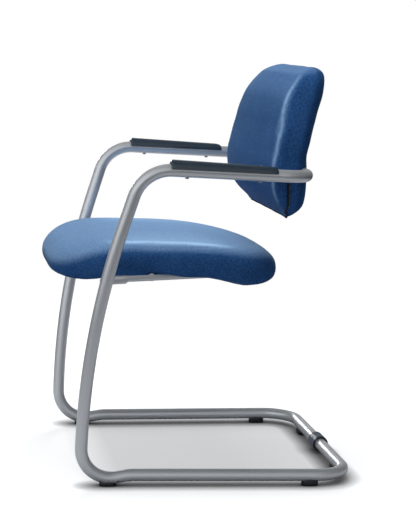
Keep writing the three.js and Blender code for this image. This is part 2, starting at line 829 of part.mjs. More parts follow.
function boardSlab(frontFace, rearFace, rim) {
  const outline = [...boardFaceLine(frontFace), ...boardFaceLine(rearFace).reverse()];
  const right = [];
  for (const [level, width] of backLevelShares) {
    const height = backBottomHeight + rim + (backHeight - 2 * rim) * level;
    right.push(new THREE.Vector2(backHalfWidth * width - rim, height));
  }
  const left = right.map((point) => new THREE.Vector2(-point.x, point.y)).reverse();
  const face = new THREE.ExtrudeGeometry(new THREE.Shape([...right, ...left]), {
    depth: backDepth * 2,
    bevelEnabled: false,
  });
  face.rotateX(Math.PI / 2);
  face.translate(0, backFrontSetback + backDepth * 2, 0);
  return acrossPrism(outline, backHalfWidth + cutOverrun).intersect(toSolid(face));
}

function saddlePlace(side) {
  return new THREE.Vector3(side * saddleHalfSpacing, backBarSetback, backBarHeight);
}

function alongBolt(place, from, to, radius) {
  return rodSolid(
    new THREE.Vector3(place.x, from, place.z),
    new THREE.Vector3(place.x, to, place.z),
    radius,
    boreSides,
  );
}

function saddleBlock(side, clearance) {
  const place = saddlePlace(side);
  const half = new THREE.Vector3(saddleWidth / 2 + clearance, 0, saddleHeight / 2 + clearance);
  const low = place.clone().sub(half);
  low.y = boardRear + touchGap - clearance;
  const high = place.clone().add(half);
  high.y = backBarSetback - touchGap + clearance;
  return boxSolid(low, high);
}

function backSaddle(side) {
  const place = saddlePlace(side);
  const bore = alongBolt(place, boardRear, backBarSetback, boltRadius + touchGap);
  return saddleBlock(side, 0).subtract(frameSpaces.get(side)).subtract(bore);
}

const boltSpaceRadius = boltRadius + touchGap;
const backNutRadius = boltSpaceRadius + teeNutWall;

function backTeeNutForm(side, clearance) {
  const place = saddlePlace(side);
  const flangeRear = boardFront + teeNutFlangeThickness + clearance;
  const barrel = alongBolt(place, boardFront, boardRear - touchGap, backNutRadius + clearance);
  return barrel.add(alongBolt(place, boardFront, flangeRear, teeNutFlangeRadius + clearance));
}

function backTeeNut(side) {
  const bore = alongBolt(saddlePlace(side), boardFront - cutOverrun, boardRear, boltSpaceRadius);
  return backTeeNutForm(side, 0).subtract(bore);
}

const headFront = backBarSetback + tubeRadius + touchGap;

function boltHeadSpace(side) {
  const headRear = headFront + boltHeadHeight + touchGap;
  return alongBolt(saddlePlace(side), backBarSetback, headRear, boltHeadRadius + touchGap);
}

function backBolt(side) {
  const place = saddlePlace(side);
  const shank = alongBolt(place, boardFront + touchGap, headFront + touchGap, boltRadius);
  return shank.add(alongBolt(place, headFront, headFront + boltHeadHeight, boltHeadRadius));
}

function backBoard() {
  let board = boardSlab(boardFront, boardRear, boardRim);
  for (const side of [-1, 1]) {
    const hole = alongBolt(saddlePlace(side), boardFront, boardRear + cutOverrun, backNutRadius + touchGap);
    board = board.subtract(backTeeNutForm(side, touchGap)).subtract(hole);
  }
  return board;
}

// The slit in each side of the cover, below the tube, and the black lining inside it
function slitPrism(width) {
  const top = backBarHeight - tubeRadius;
  const foot = backBottomHeight + slitFootRise;
  const topMiddle = backBarSetback - slitTopAhead;
  const footMiddle = backBarSetback - slitFootAhead;
  return acrossPrism([
    [footMiddle - width / 2, foot],
    [footMiddle + width / 2, foot],
    [topMiddle + width / 2, top],
    [topMiddle - width / 2, top],
  ], backHalfWidth + cutOverrun);
}

const backFoamForm = backForm(coverThickness + touchGap);
const slitSpace = slitPrism(slitWidth).subtract(backForm(-cutOverrun, liningDepth + touchGap));

function tubeHole(side) {
  return frameSpace(side, tubeHoleGap);
}

function frontFoam() {
  const behind = [
    ...boardFaceLine(boardFront - touchGap),
    [backBarSetback + backDepth, backTopHeight + cutOverrun],
    [backBarSetback + backDepth, backBottomHeight - cutOverrun],
  ];
  const prism = acrossPrism(behind.reverse(), backHalfWidth + cutOverrun);
  return backFoamForm.subtract(prism).subtract(slitSpace);
}

function rearFoam() {
  const ahead = [
    ...boardFaceLine(boardFront),
    [backFrontSetback - backDepth, backTopHeight + cutOverrun],
    [backFrontSetback - backDepth, backBottomHeight - cutOverrun],
  ];
  let foam = backFoamForm.subtract(acrossPrism(ahead, backHalfWidth + cutOverrun));
  foam = foam.subtract(boardSlab(boardFront - cutOverrun, boardRear + touchGap, boardRim - touchGap));
  const joint = new THREE.Vector3(touchGap, backBarSetback, backBarHeight);
  const jointEnd = joint.clone().setX(-touchGap);
  foam = foam.subtract(slitSpace).subtract(rodSolid(joint, jointEnd, tubeRadius));
  for (const side of [-1, 1]) {
    foam = foam.subtract(tubeHole(side)).subtract(saddleBlock(side, touchGap)).subtract(boltHeadSpace(side));
  }
  return foam;
}

function backCover() {
  let cover = backForm(0).subtract(backForm(coverThickness)).subtract(slitSpace);
  for (const side of [-1, 1]) cover = cover.subtract(tubeHole(side)).subtract(boltHeadSpace(side));
  return cover;
}

function slitLining(side) {
  const strip = slitPrism(slitWidth - 2 * touchGap);
  const band = strip.intersect(backForm(liningRecess)).subtract(backForm(-cutOverrun, liningDepth));
  const half = side * backHalfWidth;
  const low = new THREE.Vector3(Math.min(half, 0), backFrontSetback, backBottomHeight);
  const high = new THREE.Vector3(Math.max(half, 0), backBarSetback + backDepth, backBarHeight);
  return band.intersect(boxSolid(low, high)).subtract(frameSpaces.get(side));
}

function backHem() {
  const [, width, front, rear] = backLevelShares[0];
  const middle = backFrontSetback + backDepth * ((front + rear) / 2);
  const halfLength = backHalfWidth * width - hemThickness;
  const top = backBottomHeight - touchGap;
  return new THREE.BoxGeometry(2 * halfLength, hemThickness, hemHeight)
    .translate(0, middle, top - hemHeight / 2);
}

// Putting the chair together
const sideNames = new Map([[-1, 'right'], [1, 'left']]);
const supportSpace = joinAll([
  ...[-1, 1].map((side) => toSolid(tubeGeometry(railLines.get(side), railRadius + touchGap, roundSides))),
  barRod(frontBarSetback, railRadius + touchGap),
]);
const seatCover = seatForm(0).subtract(seatForm(coverThickness)).subtract(seatPocket).subtract(supportSpace);

addPiece('floor_joint_sleeve', sleeve(baseLength, runnerHeight), zincSteel);
addPiece('floor_joint_collar', collar(), blackPlastic);
addPiece('back_joint_sleeve', sleeve(backBarSetback, backBarHeight), zincSteel);
addPiece('seat_bar_front', toGeometry(seatBar(frontBarSetback)), steelPaint);
addPiece('seat_bar_rear', toGeometry(seatBar(rearBarSetback)), steelPaint);
addPiece('seat_bottom_shell', toGeometry(seatBottomShell()), blackPlastic);
addPiece('seat_pan', toGeometry(seatPan()), plywood);
addPiece('seat_foam', toGeometry(seatFoamForm.subtract(seatPocket).subtract(supportSpace)), paleFoam);
addPiece('seat_cover', toGeometry(seatCover), blueFabric);
addPiece('back_board', toGeometry(backBoard()), plywood);
addPiece('back_foam_front', toGeometry(frontFoam()), paleFoam);
addPiece('back_foam_rear', toGeometry(rearFoam()), paleFoam);
addPiece('back_cover', toGeometry(backCover()), blueFabric);
addPiece('back_cover_hem', backHem(), navyFabric);

for (const [side, sideName] of sideNames) {
  addPiece(`frame_tube_${sideName}`, toGeometry(frameTube(side)), steelPaint);
  for (const place of glidePlaces(side)) {
    addPiece(`${place.name}_${sideName}`, toGeometry(glide(side, place)), blackPlastic);
  }
  addPiece(`arm_pad_${sideName}`, toGeometry(armPad(side)), slatePlastic);
  for (const place of padScrewPlaces(side)) {
    addPiece(`arm_pad_screw_${place.row}_${sideName}`, padScrew(place.at), zincSteel);
  }
  addPiece(`seat_bracket_${sideName}`, toGeometry(seatBracket(side)), steelPaint);
  addPiece(`seat_rail_${sideName}`, seatRail(side), steelPaint);
  addPiece(`back_saddle_${sideName}`, toGeometry(backSaddle(side)), blackPlastic);
  addPiece(`back_bolt_${sideName}`, toGeometry(backBolt(side)), zincSteel);
  addPiece(`back_tee_nut_${sideName}`, toGeometry(backTeeNut(side)), zincSteel);
  addPiece(`back_slit_lining_${sideName}`, toGeometry(slitLining(side)), blackPlastic);
}
for (const place of seatScrewPlaces) {
  const corner = `${place.row}_${sideNames.get(place.side)}`;
  addPiece(`seat_tab_${corner}`, toGeometry(seatTab(place)), steelPaint);
  addPiece(`seat_screw_${corner}`, seatScrew(place), zincSteel);
  addPiece(`seat_tee_nut_${corner}`, teeNut(place), zincSteel);
}

// The chair stands centred on its origin
const frontReach = supportSetback - seatFrontAhead;
const rearReach = baseLength + tubeRadius + touchGap + collarWall;
chair.position.y = -(frontReach + rearReach) / 2;

export default chair;
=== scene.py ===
from math import asin, ceil, copysign, cos, pi, radians, sin, tan, tau

import bmesh
import bpy
import numpy as np
from mathutils import Matrix, Vector


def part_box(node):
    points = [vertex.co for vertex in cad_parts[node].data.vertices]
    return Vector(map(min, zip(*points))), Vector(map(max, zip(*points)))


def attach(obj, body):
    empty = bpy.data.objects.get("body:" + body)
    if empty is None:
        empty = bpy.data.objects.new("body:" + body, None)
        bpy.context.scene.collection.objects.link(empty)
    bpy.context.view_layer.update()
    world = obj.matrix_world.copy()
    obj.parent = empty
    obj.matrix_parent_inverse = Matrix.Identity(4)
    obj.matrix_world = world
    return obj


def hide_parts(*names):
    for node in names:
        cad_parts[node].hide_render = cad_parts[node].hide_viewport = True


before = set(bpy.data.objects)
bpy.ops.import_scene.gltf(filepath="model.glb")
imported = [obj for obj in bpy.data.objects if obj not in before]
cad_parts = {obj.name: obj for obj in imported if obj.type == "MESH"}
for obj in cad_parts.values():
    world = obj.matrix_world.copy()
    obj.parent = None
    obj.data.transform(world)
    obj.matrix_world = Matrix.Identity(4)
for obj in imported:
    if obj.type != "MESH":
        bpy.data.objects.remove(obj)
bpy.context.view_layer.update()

scene = bpy.context.scene

# Camera. A studio camera stands at the sitter's left, nearly side on and a little above the seat,
# with a long lens, no shift and a small roll. Its frame is 520 pixels high.
frame_height_px = 520
focal_length_px = 1571.8
film_height = 24
camera_place = Vector((3.2873, -0.5900, 0.9025))
yaw, pitch, roll = 0.188, 0.142, 0.0438

sight = Vector((-cos(yaw) * cos(pitch), sin(yaw) * cos(pitch), -sin(pitch)))
level_right = sight.cross(Vector((0, 0, 1))).normalized()
level_up = level_right.cross(sight)
camera_right = cos(roll) * level_right + sin(roll) * level_up
camera_up = cos(roll) * level_up - sin(roll) * level_right
lens = bpy.data.cameras.new("studio_camera")
lens.sensor_fit = "VERTICAL"
lens.sensor_height = film_height
lens.lens = film_height * focal_length_px / frame_height_px
camera = bpy.data.objects.new("studio_camera", lens)
camera_axes = Matrix((camera_right, camera_up, -sight)).transposed()
camera.matrix_world = Matrix.Translation(camera_place) @ camera_axes.to_4x4()
scene.collection.objects.link(camera)
scene.camera = camera


# Studio. A white sweep under two soft boxes overhead, with a low rim light at the chair's right and a
# box there that only glints in the coat, in a dim room that is bright at the chair's left and front.
# For the camera the sweep has painted shade close to the tubes and a painted shadow, a plain grey, inside the
# loop.
def sum_of(operation, turned=False):
    def add_node(self, other):
        pair = {0: other, 1: self} if turned else {0: self, 1: other}
        return self.finish.math(operation, pair)
    return add_node


class Link:
    """A socket of a finish. Sums on it add Math nodes."""

    def __init__(self, finish, socket):
        self.finish = finish
        self.socket = socket

    __add__ = __radd__ = sum_of("ADD")
    __sub__ = sum_of("SUBTRACT")
    __rsub__ = sum_of("SUBTRACT", turned=True)
    __mul__ = sum_of("MULTIPLY")
    __truediv__ = sum_of("DIVIDE")
    __pow__ = sum_of("POWER")
    __lt__ = sum_of("LESS_THAN")
    __gt__ = sum_of("GREATER_THAN")

    def __abs__(self):
        return self.finish.math("ABSOLUTE", {0: self})


class Finish:
    """The nodes of one material, or of the room around the chair."""

    def __init__(self, owner):
        owner.use_nodes = True
        self.owner = owner
        self.tree = owner.node_tree
        self.tree.nodes.clear()

    def node(self, kind, settings=None, inputs=None, output=0):
        new = self.tree.nodes.new(kind)
        for name, value in (settings or {}).items():
            setattr(new, name, value)
        for name, value in (inputs or {}).items():
            if isinstance(value, Link):
                self.tree.links.new(value.socket, new.inputs[name])
            else:
                new.inputs[name].default_value = value
        return Link(self, new.outputs[output]) if len(new.outputs) else None

    def between(self, share, first, second):
        """A colour that goes from the first to the second with the share."""
        first, second = (tone if isinstance(tone, Link) else shade_of(*tone) for tone in (first, second))
        return self.node("ShaderNodeMix", {"data_type": "RGBA"}, {0: share, 6: first, 7: second}, output=2)

    def place(self):
        return self.node("ShaderNodeTexCoord", output=3)

    def grain(self, size, detail=2, roughness=0.5, place=None):
        """Noise from 0 to 1 whose lumps are about the given size in metres."""
        inputs = {"Scale": 1 / size, "Detail": detail, "Roughness": roughness}
        return self.node("ShaderNodeTexNoise", inputs={"Vector": place or self.place(), **inputs})

    def math(self, operation, inputs):
        return self.node("ShaderNodeMath", {"operation": operation}, inputs)

    def sine(self, value):
        return self.math("SINE", {0: value})

    def bump(self, height, depth):
        """A surface normal for a height from 0 to 1 that stands for the given depth in metres."""
        return self.node("ShaderNodeBump", inputs={"Height": height, "Distance": depth})

    def parts(self, vector):
        """The x, y and z of a vector."""
        split = self.node("ShaderNodeSeparateXYZ", inputs={0: vector}).socket.node
        return [Link(self, socket) for socket in split.outputs]

    def clamp(self, value):
        return self.node("ShaderNodeClamp", inputs={0: value})

    def diffuse(self, colour):
        return self.node("ShaderNodeBsdfDiffuse", inputs={"Color": colour})

    def emission(self, colour, strength=1):
        return self.node("ShaderNodeEmission", inputs={"Color": colour, "Strength": strength})

    def mixed(self, share, first, second):
        return self.node("ShaderNodeMixShader", inputs={0: share, 1: first, 2: second})

    def open_sky(self, reach):
        """How open a surface is within the reach, from 0 to 1."""
        return self.node("ShaderNodeAmbientOcclusion", {"samples": 8}, {"Distance": reach}, output=1)

    def shade(self, **sockets):
        inputs = {name.replace("_", " "): value for name, value in sockets.items()}
        surface = self.node("ShaderNodeBsdfPrincipled", inputs=inputs)
        self.node("ShaderNodeOutputMaterial", inputs={"Surface": surface})
        return self.owner


def new_finish(name):
    return Finish(bpy.data.materials.new(name))


def shade_of(red, green, blue):
    """A colour in linear light from the usual values of 0 to 255."""
    return (*((value / 255) ** 2.2 for value in (red, green, blue)), 1)


sweep_reach = 12
sweep_glow = 0.63
fade_start, fade_length = 0.9, 1.2
# Reach and strength of the painted shade close to the tubes, and edges of the painted shadow inside the loop.
contact_reach, contact_power = 0.038, 2.6
bounce_reach, bounce_power = 0.06, 2.5
loop_left, loop_right, loop_rear, loop_front = 0.272, -0.315, 0.3, -0.25
side_fade, end_fade, front_fade = 0.03, 0.02, 0.09
painted_shadow_depth = 0.3
white, sweep_dark = (1, 1, 1, 1), shade_of(20, 21, 23)
sweep = new_finish("sweep")
sweep_place = sweep.place()
sweep_tone = sweep.between(sweep.grain(0.4), (184, 187, 190), (188, 190, 192))
seen = sweep.node("ShaderNodeLightPath")
lit = sweep.diffuse(sweep_tone)
lit_and_glow = sweep.node("ShaderNodeAddShader", inputs={0: lit, 1: sweep.emission(white, sweep_glow)})
painted_shade_floor = sweep.diffuse(sweep_dark)
sweep_x, sweep_y, _ = sweep.parts(sweep_place)
# Painted shadow: a plain grey inside the loop, seen by the camera, stands for the chair's shadow. Ambient
# occlusion adds painted shade close to the tubes.
painted_shadow_mask = sweep.clamp((loop_left - sweep_x) / side_fade) * sweep.clamp((sweep_x - loop_right) / end_fade)
painted_shadow_mask *= sweep.clamp((loop_rear - sweep_y) / end_fade) * sweep.clamp((sweep_y - loop_front) / front_fade)
unshaded_share = sweep.open_sky(contact_reach) ** contact_power * (1 - painted_shadow_mask * painted_shadow_depth)
shadowed = sweep.mixed(unshaded_share, painted_shade_floor, lit_and_glow)
# Painted shade: for rays that light the chair, the sweep goes dark close to the tubes.
unshaded_bounce_share = sweep.open_sky(bounce_reach) ** bounce_power
painted_shade_bounce = sweep.mixed(unshaded_bounce_share, painted_shade_floor, sweep.diffuse(shade_of(194, 196, 200)))
near = sweep.mixed(seen, painted_shade_bounce, shadowed)
far = sweep.mixed(seen, sweep.emission(sweep_dark), sweep.emission(white))
distance = sweep.node("ShaderNodeVectorMath", {"operation": "LENGTH"}, {0: sweep_place}, output=1)
fade = sweep.clamp((distance - fade_start) / fade_length)
sweep.node("ShaderNodeOutputMaterial", inputs={"Surface": sweep.mixed(fade, near, far)})
sweep_mesh = bpy.data.meshes.new("sweep")
corners = [(x * sweep_reach, y * sweep_reach, 0) for x, y in [(-1, -1), (1, -1), (1, 1), (-1, 1)]]
sweep_mesh.from_pydata(corners, [], [(0, 1, 2, 3)])
sweep_mesh.materials.append(sweep.owner)
floor = bpy.data.objects.new("sweep", sweep_mesh)
scene.collection.objects.link(floor)

room_strength = 1.35
diagonal, right_share, rear_share, dim_share = 0.71, 0.25, 0.15, 0.02
room = Finish(bpy.data.worlds.new("studio"))
scene.world = room.owner
east, north, _ = room.parts(room.node("ShaderNodeTexCoord"))
front_lobe = room.clamp((east - north) * diagonal) ** 2
right_lobe = room.clamp(east * -1) ** 2
rear_lobe = room.clamp((east + north) * diagonal) ** 2
bright = front_lobe + right_lobe * right_share + rear_lobe * rear_share + dim_share
walls = room.between(bright, (0, 0, 0), (251, 255, 259))
around = room.node("ShaderNodeBackground", inputs={"Color": walls, "Strength": room_strength})
behind = room.node("ShaderNodeBackground", inputs={"Color": white, "Strength": 1})
shown = room.mixed(room.node("ShaderNodeLightPath"), around, behind)
room.node("ShaderNodeOutputWorld", inputs={"Surface": shown})


def soft_box(name, place, size, watts):
    light = bpy.data.lights.new(name, "AREA")
    light.shape = "SQUARE"
    light.size = size
    light.energy = watts
    box = bpy.data.objects.new(name, light)
    box.location = place
    box.rotation_euler = (light_target - box.location).to_track_quat("-Z", "Y").to_euler()
    box.visible_glossy = False
    scene.collection.objects.link(box)
    return box


light_target = Vector((0, 0, 0.45))
soft_box("overhead_box", (0.0, -0.1, 3.1), 1.6, 44)
soft_box("front_box", (0.0, -1.4, 2.8), 1.6, 10)
soft_box("rim_box", (-2.6, 0.75, 1.15), 1.1, 60)
glint = soft_box("glint_box", (-5, -0.5, 1.0), 1.0, 42)
glint.visible_glossy, glint.visible_diffuse = True, False
scene.view_settings.view_transform = "Standard"

# Frame. One loop of round steel tube, 25 mm across, bent cold: runners, legs, arms and back bar.
# Its ends meet in the floor bar and in the back bar. It has a satin silver-grey powder coat.
frame_start = -0.252997
both_sides = ((1, "left"), (-1, "right"))
tube_radius = 0.0125
loop_corners = [
    ((0.15, 554.4, 21.6), 0), ((264, 554.4, 21.6), 68.7), ((250, 97.8, 21.6), 120),
    ((250, 0, 2.9), 62.6), ((271.6, 0, 308), 1586), ((293, 98.4, 642.2), 74.4),
    ((298, 433.7, 634.8), 55), ((0.15, 433.7, 634.8), 0),
]
loop_sides, loop_step = 40, 0.006
sharp_angle = radians(40)


def at(x, y, z):
    """A point from the frame's own lengths in millimetres."""
    return Vector((x / 1000, y / 1000 + frame_start, z / 1000))


def box_of(name):
    """The low and high corners of a node's box, and its middle."""
    low, high = (Vector(corner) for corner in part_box(name))
    return low, high, (low + high) / 2


def join_rows(mesh, rows):
    """Adds the faces between each closed row of points and the next."""
    for low, high in zip(rows, rows[1:]):
        for k in range(len(low)):
            mesh.faces.new((low[k - 1], low[k], high[k], high[k - 1]))


def add_skin(mesh, rings):
    """Adds a closed skin over rings of equally many points, with a centre point at each end."""
    rows = [[mesh.verts.new(point) for point in ring] for ring in rings]
    join_rows(mesh, rows)
    for row in (rows[0], rows[-1]):
        centre = mesh.verts.new(sum((vertex.co for vertex in row), Vector()) / len(row))
        for k in range(len(row)):
            mesh.faces.new((row[k - 1], row[k], centre))


def skin_mesh(*skins):
    mesh = bmesh.new()
    for rings in skins:
        add_skin(mesh, rings)
    return mesh_from(mesh)


def mesh_from(mesh):
    bmesh.ops.recalc_face_normals(mesh, faces=mesh.faces)
    result = bpy.data.meshes.new("skin")
    mesh.to_mesh(result)
    mesh.free()
    return result


def bent_line(corners, step):
    """Points on straight lines between the corners and on arcs of the given radii at them."""
    points = [corners[0][0]]
    for (before, _), (corner, radius), (after, _) in zip(corners, corners[1:], corners[2:]):
        into, out = (corner - before).normalized(), (after - corner).normalized()
        turn = into.angle(out)
        start = corner - into * radius * tan(turn / 2)
        centre = corner + (out - into).normalized() * radius / cos(turn / 2)
        axis = into.cross(out).normalized()
        count = max(2, ceil(radius * turn / step))
        for k in range(count + 1):
            points.append(centre + Matrix.Rotation(turn * k / count, 3, axis) @ (start - centre))
    points.append(corners[-1][0])
    return points


def round_tube(points, radii, sides):
    """The rings of a tube along the points, with one radius or a radius for each point."""
    aim = (points[1] - points[0]).normalized()
    across = aim.orthogonal().normalized()
    rings = []
    for k, point in enumerate(points):
        before, after = points[max(k - 1, 0)], points[min(k + 1, len(points) - 1)]
        new_aim = (after - before).normalized()
        across = aim.rotation_difference(new_aim) @ across
        aim = new_aim
        along = aim.cross(across)
        radius = radii[k] if isinstance(radii, list) else radii
        turns = [tau * s / sides for s in range(sides)]
        rings.append([point + radius * (cos(t) * across + sin(t) * along) for t in turns])
    return rings


def add_piece(name, mesh, finish, replaced=(), soft=False):
    mesh.name = name
    piece = bpy.data.objects.new(name, mesh)
    scene.collection.objects.link(piece)
    mesh.materials.append(finish)
    mesh.shade_smooth()
    if not soft:
        mesh.set_sharp_from_angle(angle=sharp_angle)
    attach(piece, "root")
    if replaced:
        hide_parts(*replaced)
    return piece


scuff_height, scuff_from = 0.013, 0.55
coat = new_finish("silver_coat")
coat_cloud = coat.grain(0.07, detail=3)
coat_fleck = coat.grain(0.0007, detail=1)
coat_low = coat.parts(coat.place())[2] < scuff_height
coat_scuff = coat_low * (coat.grain(0.006, detail=4) > scuff_from)
coat_tone = coat.between(coat_fleck * 0.7 + coat_cloud * 0.3, (200, 203, 206), (214, 216, 218))
coat_finish = coat.shade(
    Base_Color=coat.between(coat_scuff, coat_tone, (130, 133, 136)),
    Metallic=0.6,
    Roughness=0.3 + coat_cloud * 0.06 + coat_scuff * 0.2,
    Normal=coat.bump(coat.grain(0.0016), 0.00006),
)
loop_lines = {}
for side, name in both_sides:
    corners = [(at(side * x, y, z), radius / 1000) for (x, y, z), radius in loop_corners]
    loop_lines[name] = bent_line(corners, loop_step)
    mesh = skin_mesh(round_tube(loop_lines[name], tube_radius, loop_sides))
    add_piece("loop_" + name, mesh, coat_finish, ("frame_tube_" + name,))

# Joint sleeves. Short steel tubes, zinc plated, pressed into the tube's ends where the two halves
# of the loop meet, in the floor bar under the collar and in the back bar.
def cloudy_finish(name, size, detail, tones, rough, swing, grain, grain_detail, depth, metallic=0):
    """A finish that drifts in clouds, over a fine grain."""
    finish = new_finish(name)
    cloud = finish.grain(size, detail)
    return finish.shade(
        Base_Color=finish.between(cloud, *tones),
        Metallic=metallic,
        Roughness=rough + cloud * swing,
        Normal=finish.bump(finish.grain(grain, grain_detail), depth),
    )


zinc_finish = cloudy_finish("zinc_plate", 0.004, 4, ((168, 171, 176), (206, 207, 206)),
                            0.28, 0.16, 0.0008, 2, 0.00004, metallic=1)


def dress(finish, *names):
    """Gives nodes of the frame, whose shape is right as it is, their finish."""
    for name in names:
        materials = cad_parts[name].data.materials
        materials.clear()
        materials.append(finish)


dress(zinc_finish, "floor_joint_sleeve", "back_joint_sleeve")

# Floor collar. A moulded ring that covers the joint of the floor bar, with four soft ribs and a
# thicker black lip at its near end. It is pushed over the tube before the halves are joined.
collar_bore, collar_outside = 0.0128, 0.0169
collar_groove, collar_plain_end = 0.0011, 0.1
collar_lip_length, collar_edge = 0.007, 0.0008
collar_steps, collar_sides = 72, 64

moulded_finish = cloudy_finish("black_moulded", 0.02, 3, ((22, 25, 30), (40, 43, 50)),
                               0.38, 0.12, 0.0005, 1, 0.00003)
ribbed_finish = cloudy_finish("slate_ribbed", 0.01, 3, ((74, 84, 98), (92, 102, 116)),
                              0.3, 0.12, 0.0005, 1, 0.00003)


collar_low, collar_high, collar_middle = box_of("floor_joint_collar")
collar_half = (collar_high.x - collar_low.x) / 2
lip_start = collar_half - collar_lip_length


def collar_mesh(start, end, groove, count):
    """A ring along the floor bar from one place to another, with soft grooves round it."""
    profile = [(start, collar_bore), (start, collar_outside - collar_edge)]
    for k in range(collar_steps + 1):
        share = k / collar_steps
        x = start + collar_edge + (end - start - 2 * collar_edge) * share
        ribbed_here = count and collar_plain_end < share < 1 - collar_plain_end
        dip = max(0, cos(tau * share * count)) ** 3 if ribbed_here else 0
        profile.append((x, collar_outside - groove * dip))
    profile += [(end, collar_outside - collar_edge), (end, collar_bore)]
    mesh = bmesh.new()
    turns = [tau * s / collar_sides for s in range(collar_sides)]
    rows = [[mesh.verts.new(collar_middle + Vector((x, radius * cos(t), radius * sin(t)))) for t in turns]
            for x, radius in profile]
    join_rows(mesh, rows + rows[:1])
    return mesh_from(mesh)


add_piece("ribbed_collar", collar_mesh(-collar_half, lip_start, collar_groove, 4),
          ribbed_finish, ("floor_joint_collar",))
add_piece("collar_lip", collar_mesh(lip_start, collar_half, 0, 0),
          moulded_finish)

# Glides. Moulded black feet, rounded at both ends, that hold the tube in a hollow on top. A plug on
# each goes into a hole in the tube's underside. Two sit under each runner, two under the floor bar.
glide_plug_reach = 0.002
glide_rim = [
    (0.0017, 0.0), (0.0006, 0.0004), (0.0, 0.0017), (0.0, -0.0018), (0.0005, -0.0006), (0.0017, 0.0),
]
glide_steps = 64
glide_play, glide_near = 0.0001, 0.06


def apply_modifiers(piece):
    scene_state = bpy.context.evaluated_depsgraph_get()
    mesh = bpy.data.meshes.new_from_object(piece.evaluated_get(scene_state))
    piece.modifiers.clear()
    piece.data = mesh


def points_of(piece, what="co"):
    """The places of the piece's points, or with "normal" their normals."""
    values = np.empty(3 * len(piece.data.vertices))
    piece.data.vertices.foreach_get(what, values)
    return values.reshape(-1, 3)


def move_points(piece, places):
    piece.data.vertices.foreach_set("co", places.ravel())
    piece.data.update()


def cut_away(piece, *cutters):
    """Takes the cutters' shapes out of the piece. The cut faces take the cutters' finish."""
    for cutter in cutters:
        cut = piece.modifiers.new("cut", "BOOLEAN")
        cut.object = cutter
        cut.solver = "EXACT"
        cut.material_mode = "TRANSFER"
    apply_modifiers(piece)
    for cutter in cutters:
        bpy.data.objects.remove(cutter)


def cutter_of(mesh, finish):
    mesh.materials.append(finish)
    cutter = bpy.data.objects.new("cutter", mesh)
    scene.collection.objects.link(cutter)
    return cutter


def capsule_ring(low, high, inset, height):
    """An outline with half-round ends over a box's floor area, at a height."""
    middle = (low + high) / 2
    length, width = high.x - low.x, high.y - low.y
    radius = min(length, width) / 2 - inset
    run = abs(length - width) / 2
    ring = []
    for k in range(glide_steps):
        turn = tau * (k + 0.5) / glide_steps
        x, y = radius * cos(turn), radius * sin(turn)
        if length > width:
            x += copysign(run, x)
        else:
            y += copysign(run, y)
        ring.append(Vector((middle.x + x, middle.y + y, height)))
    return ring


for name in [f"{row}_glide_{side}" for row in ("front", "rear", "bar") for _, side in both_sides]:
    low, high, middle = box_of(name)
    heights = [low.z if k < 3 else high.z - glide_plug_reach for k in range(6)]
    rings = [capsule_ring(low, high, inset, height + rise)
             for (inset, rise), height in zip(glide_rim, heights)]
    glide = add_piece(name.replace("glide", "foot"), skin_mesh(rings),
                      moulded_finish, (name,))
    line = loop_lines["left" if middle.x > 0 else "right"]
    nearby = [point for point in line if (point - middle).length < glide_near]
    hollow = skin_mesh(round_tube(nearby, tube_radius + glide_play, loop_sides))
    cut_away(glide, cutter_of(hollow, moulded_finish))

# Seat support. A flat plate on the inner side of each leg, and a 12 mm rod from it that runs back
# under the seat. Two rods cross between these. All are steel, welded, and coated with the frame.
plate_thickness, plate_half_depth = 0.006, 0.0075
plate_ahead, plate_behind = 0.0125, 0.043
plate_tilt = 0.07
plate_edge = 0.0009
rod_radius, rod_height = 6, 421.28
rod_corners = [((257.75, 37.05), 0), ((257.75, 81.05), 60), ((166, 322.05), 0)]
cross_rods = {"front": (132.05, 238.33), "rear": (299.05, 174.75)}
bead_radius, bead_pitch, bead_wave = 0.0016, 0.0022, 0.12
leg_at_plate = at(278.55, 37.05, 418.2)
plate_sink = 0.002
leg_weld_y, leg_weld_drop, leg_weld_height, leg_weld_lean = 0.0098, 0.0065, 0.013, 0.0006
rod_weld_x, rod_weld_run, rod_weld_rise = 262.6, (42, 78), 0.0052
cross_rod_sink, cross_weld_inset, cross_weld_gap = 1, 6.5, 0.4


def plate_ring(x, inset):
    ring = []
    for k in range(glide_steps):
        turn = tau * (k + 0.5) / glide_steps
        radius = plate_half_depth - inset
        y, z = radius * cos(turn), radius * sin(turn)
        y += plate_behind - plate_half_depth if y > 0 else plate_half_depth - plate_ahead
        y, z = y - plate_tilt * z, z + plate_tilt * y
        ring.append(Vector((x, leg_at_plate.y + y, leg_at_plate.z + z)))
    return ring


def weld_bead(name, points):
    """A bead whose small waves lie one behind the other, over a welded edge."""
    length = sum((b - a).length for a, b in zip(points, points[1:]))
    count = max(12, int(4 * length / bead_pitch))
    fine = []
    for k in range(count + 1):
        share = k / count * (len(points) - 1)
        first = min(int(share), len(points) - 2)
        fine.append(points[first].lerp(points[first + 1], share - first))
    radii = [bead_radius * (1 + bead_wave * cos(pi * k / 2)) for k in range(count + 1)]
    radii[0] = radii[-1] = bead_radius * 0.5
    add_piece(name, skin_mesh(round_tube(fine, radii, 12)), coat_finish)


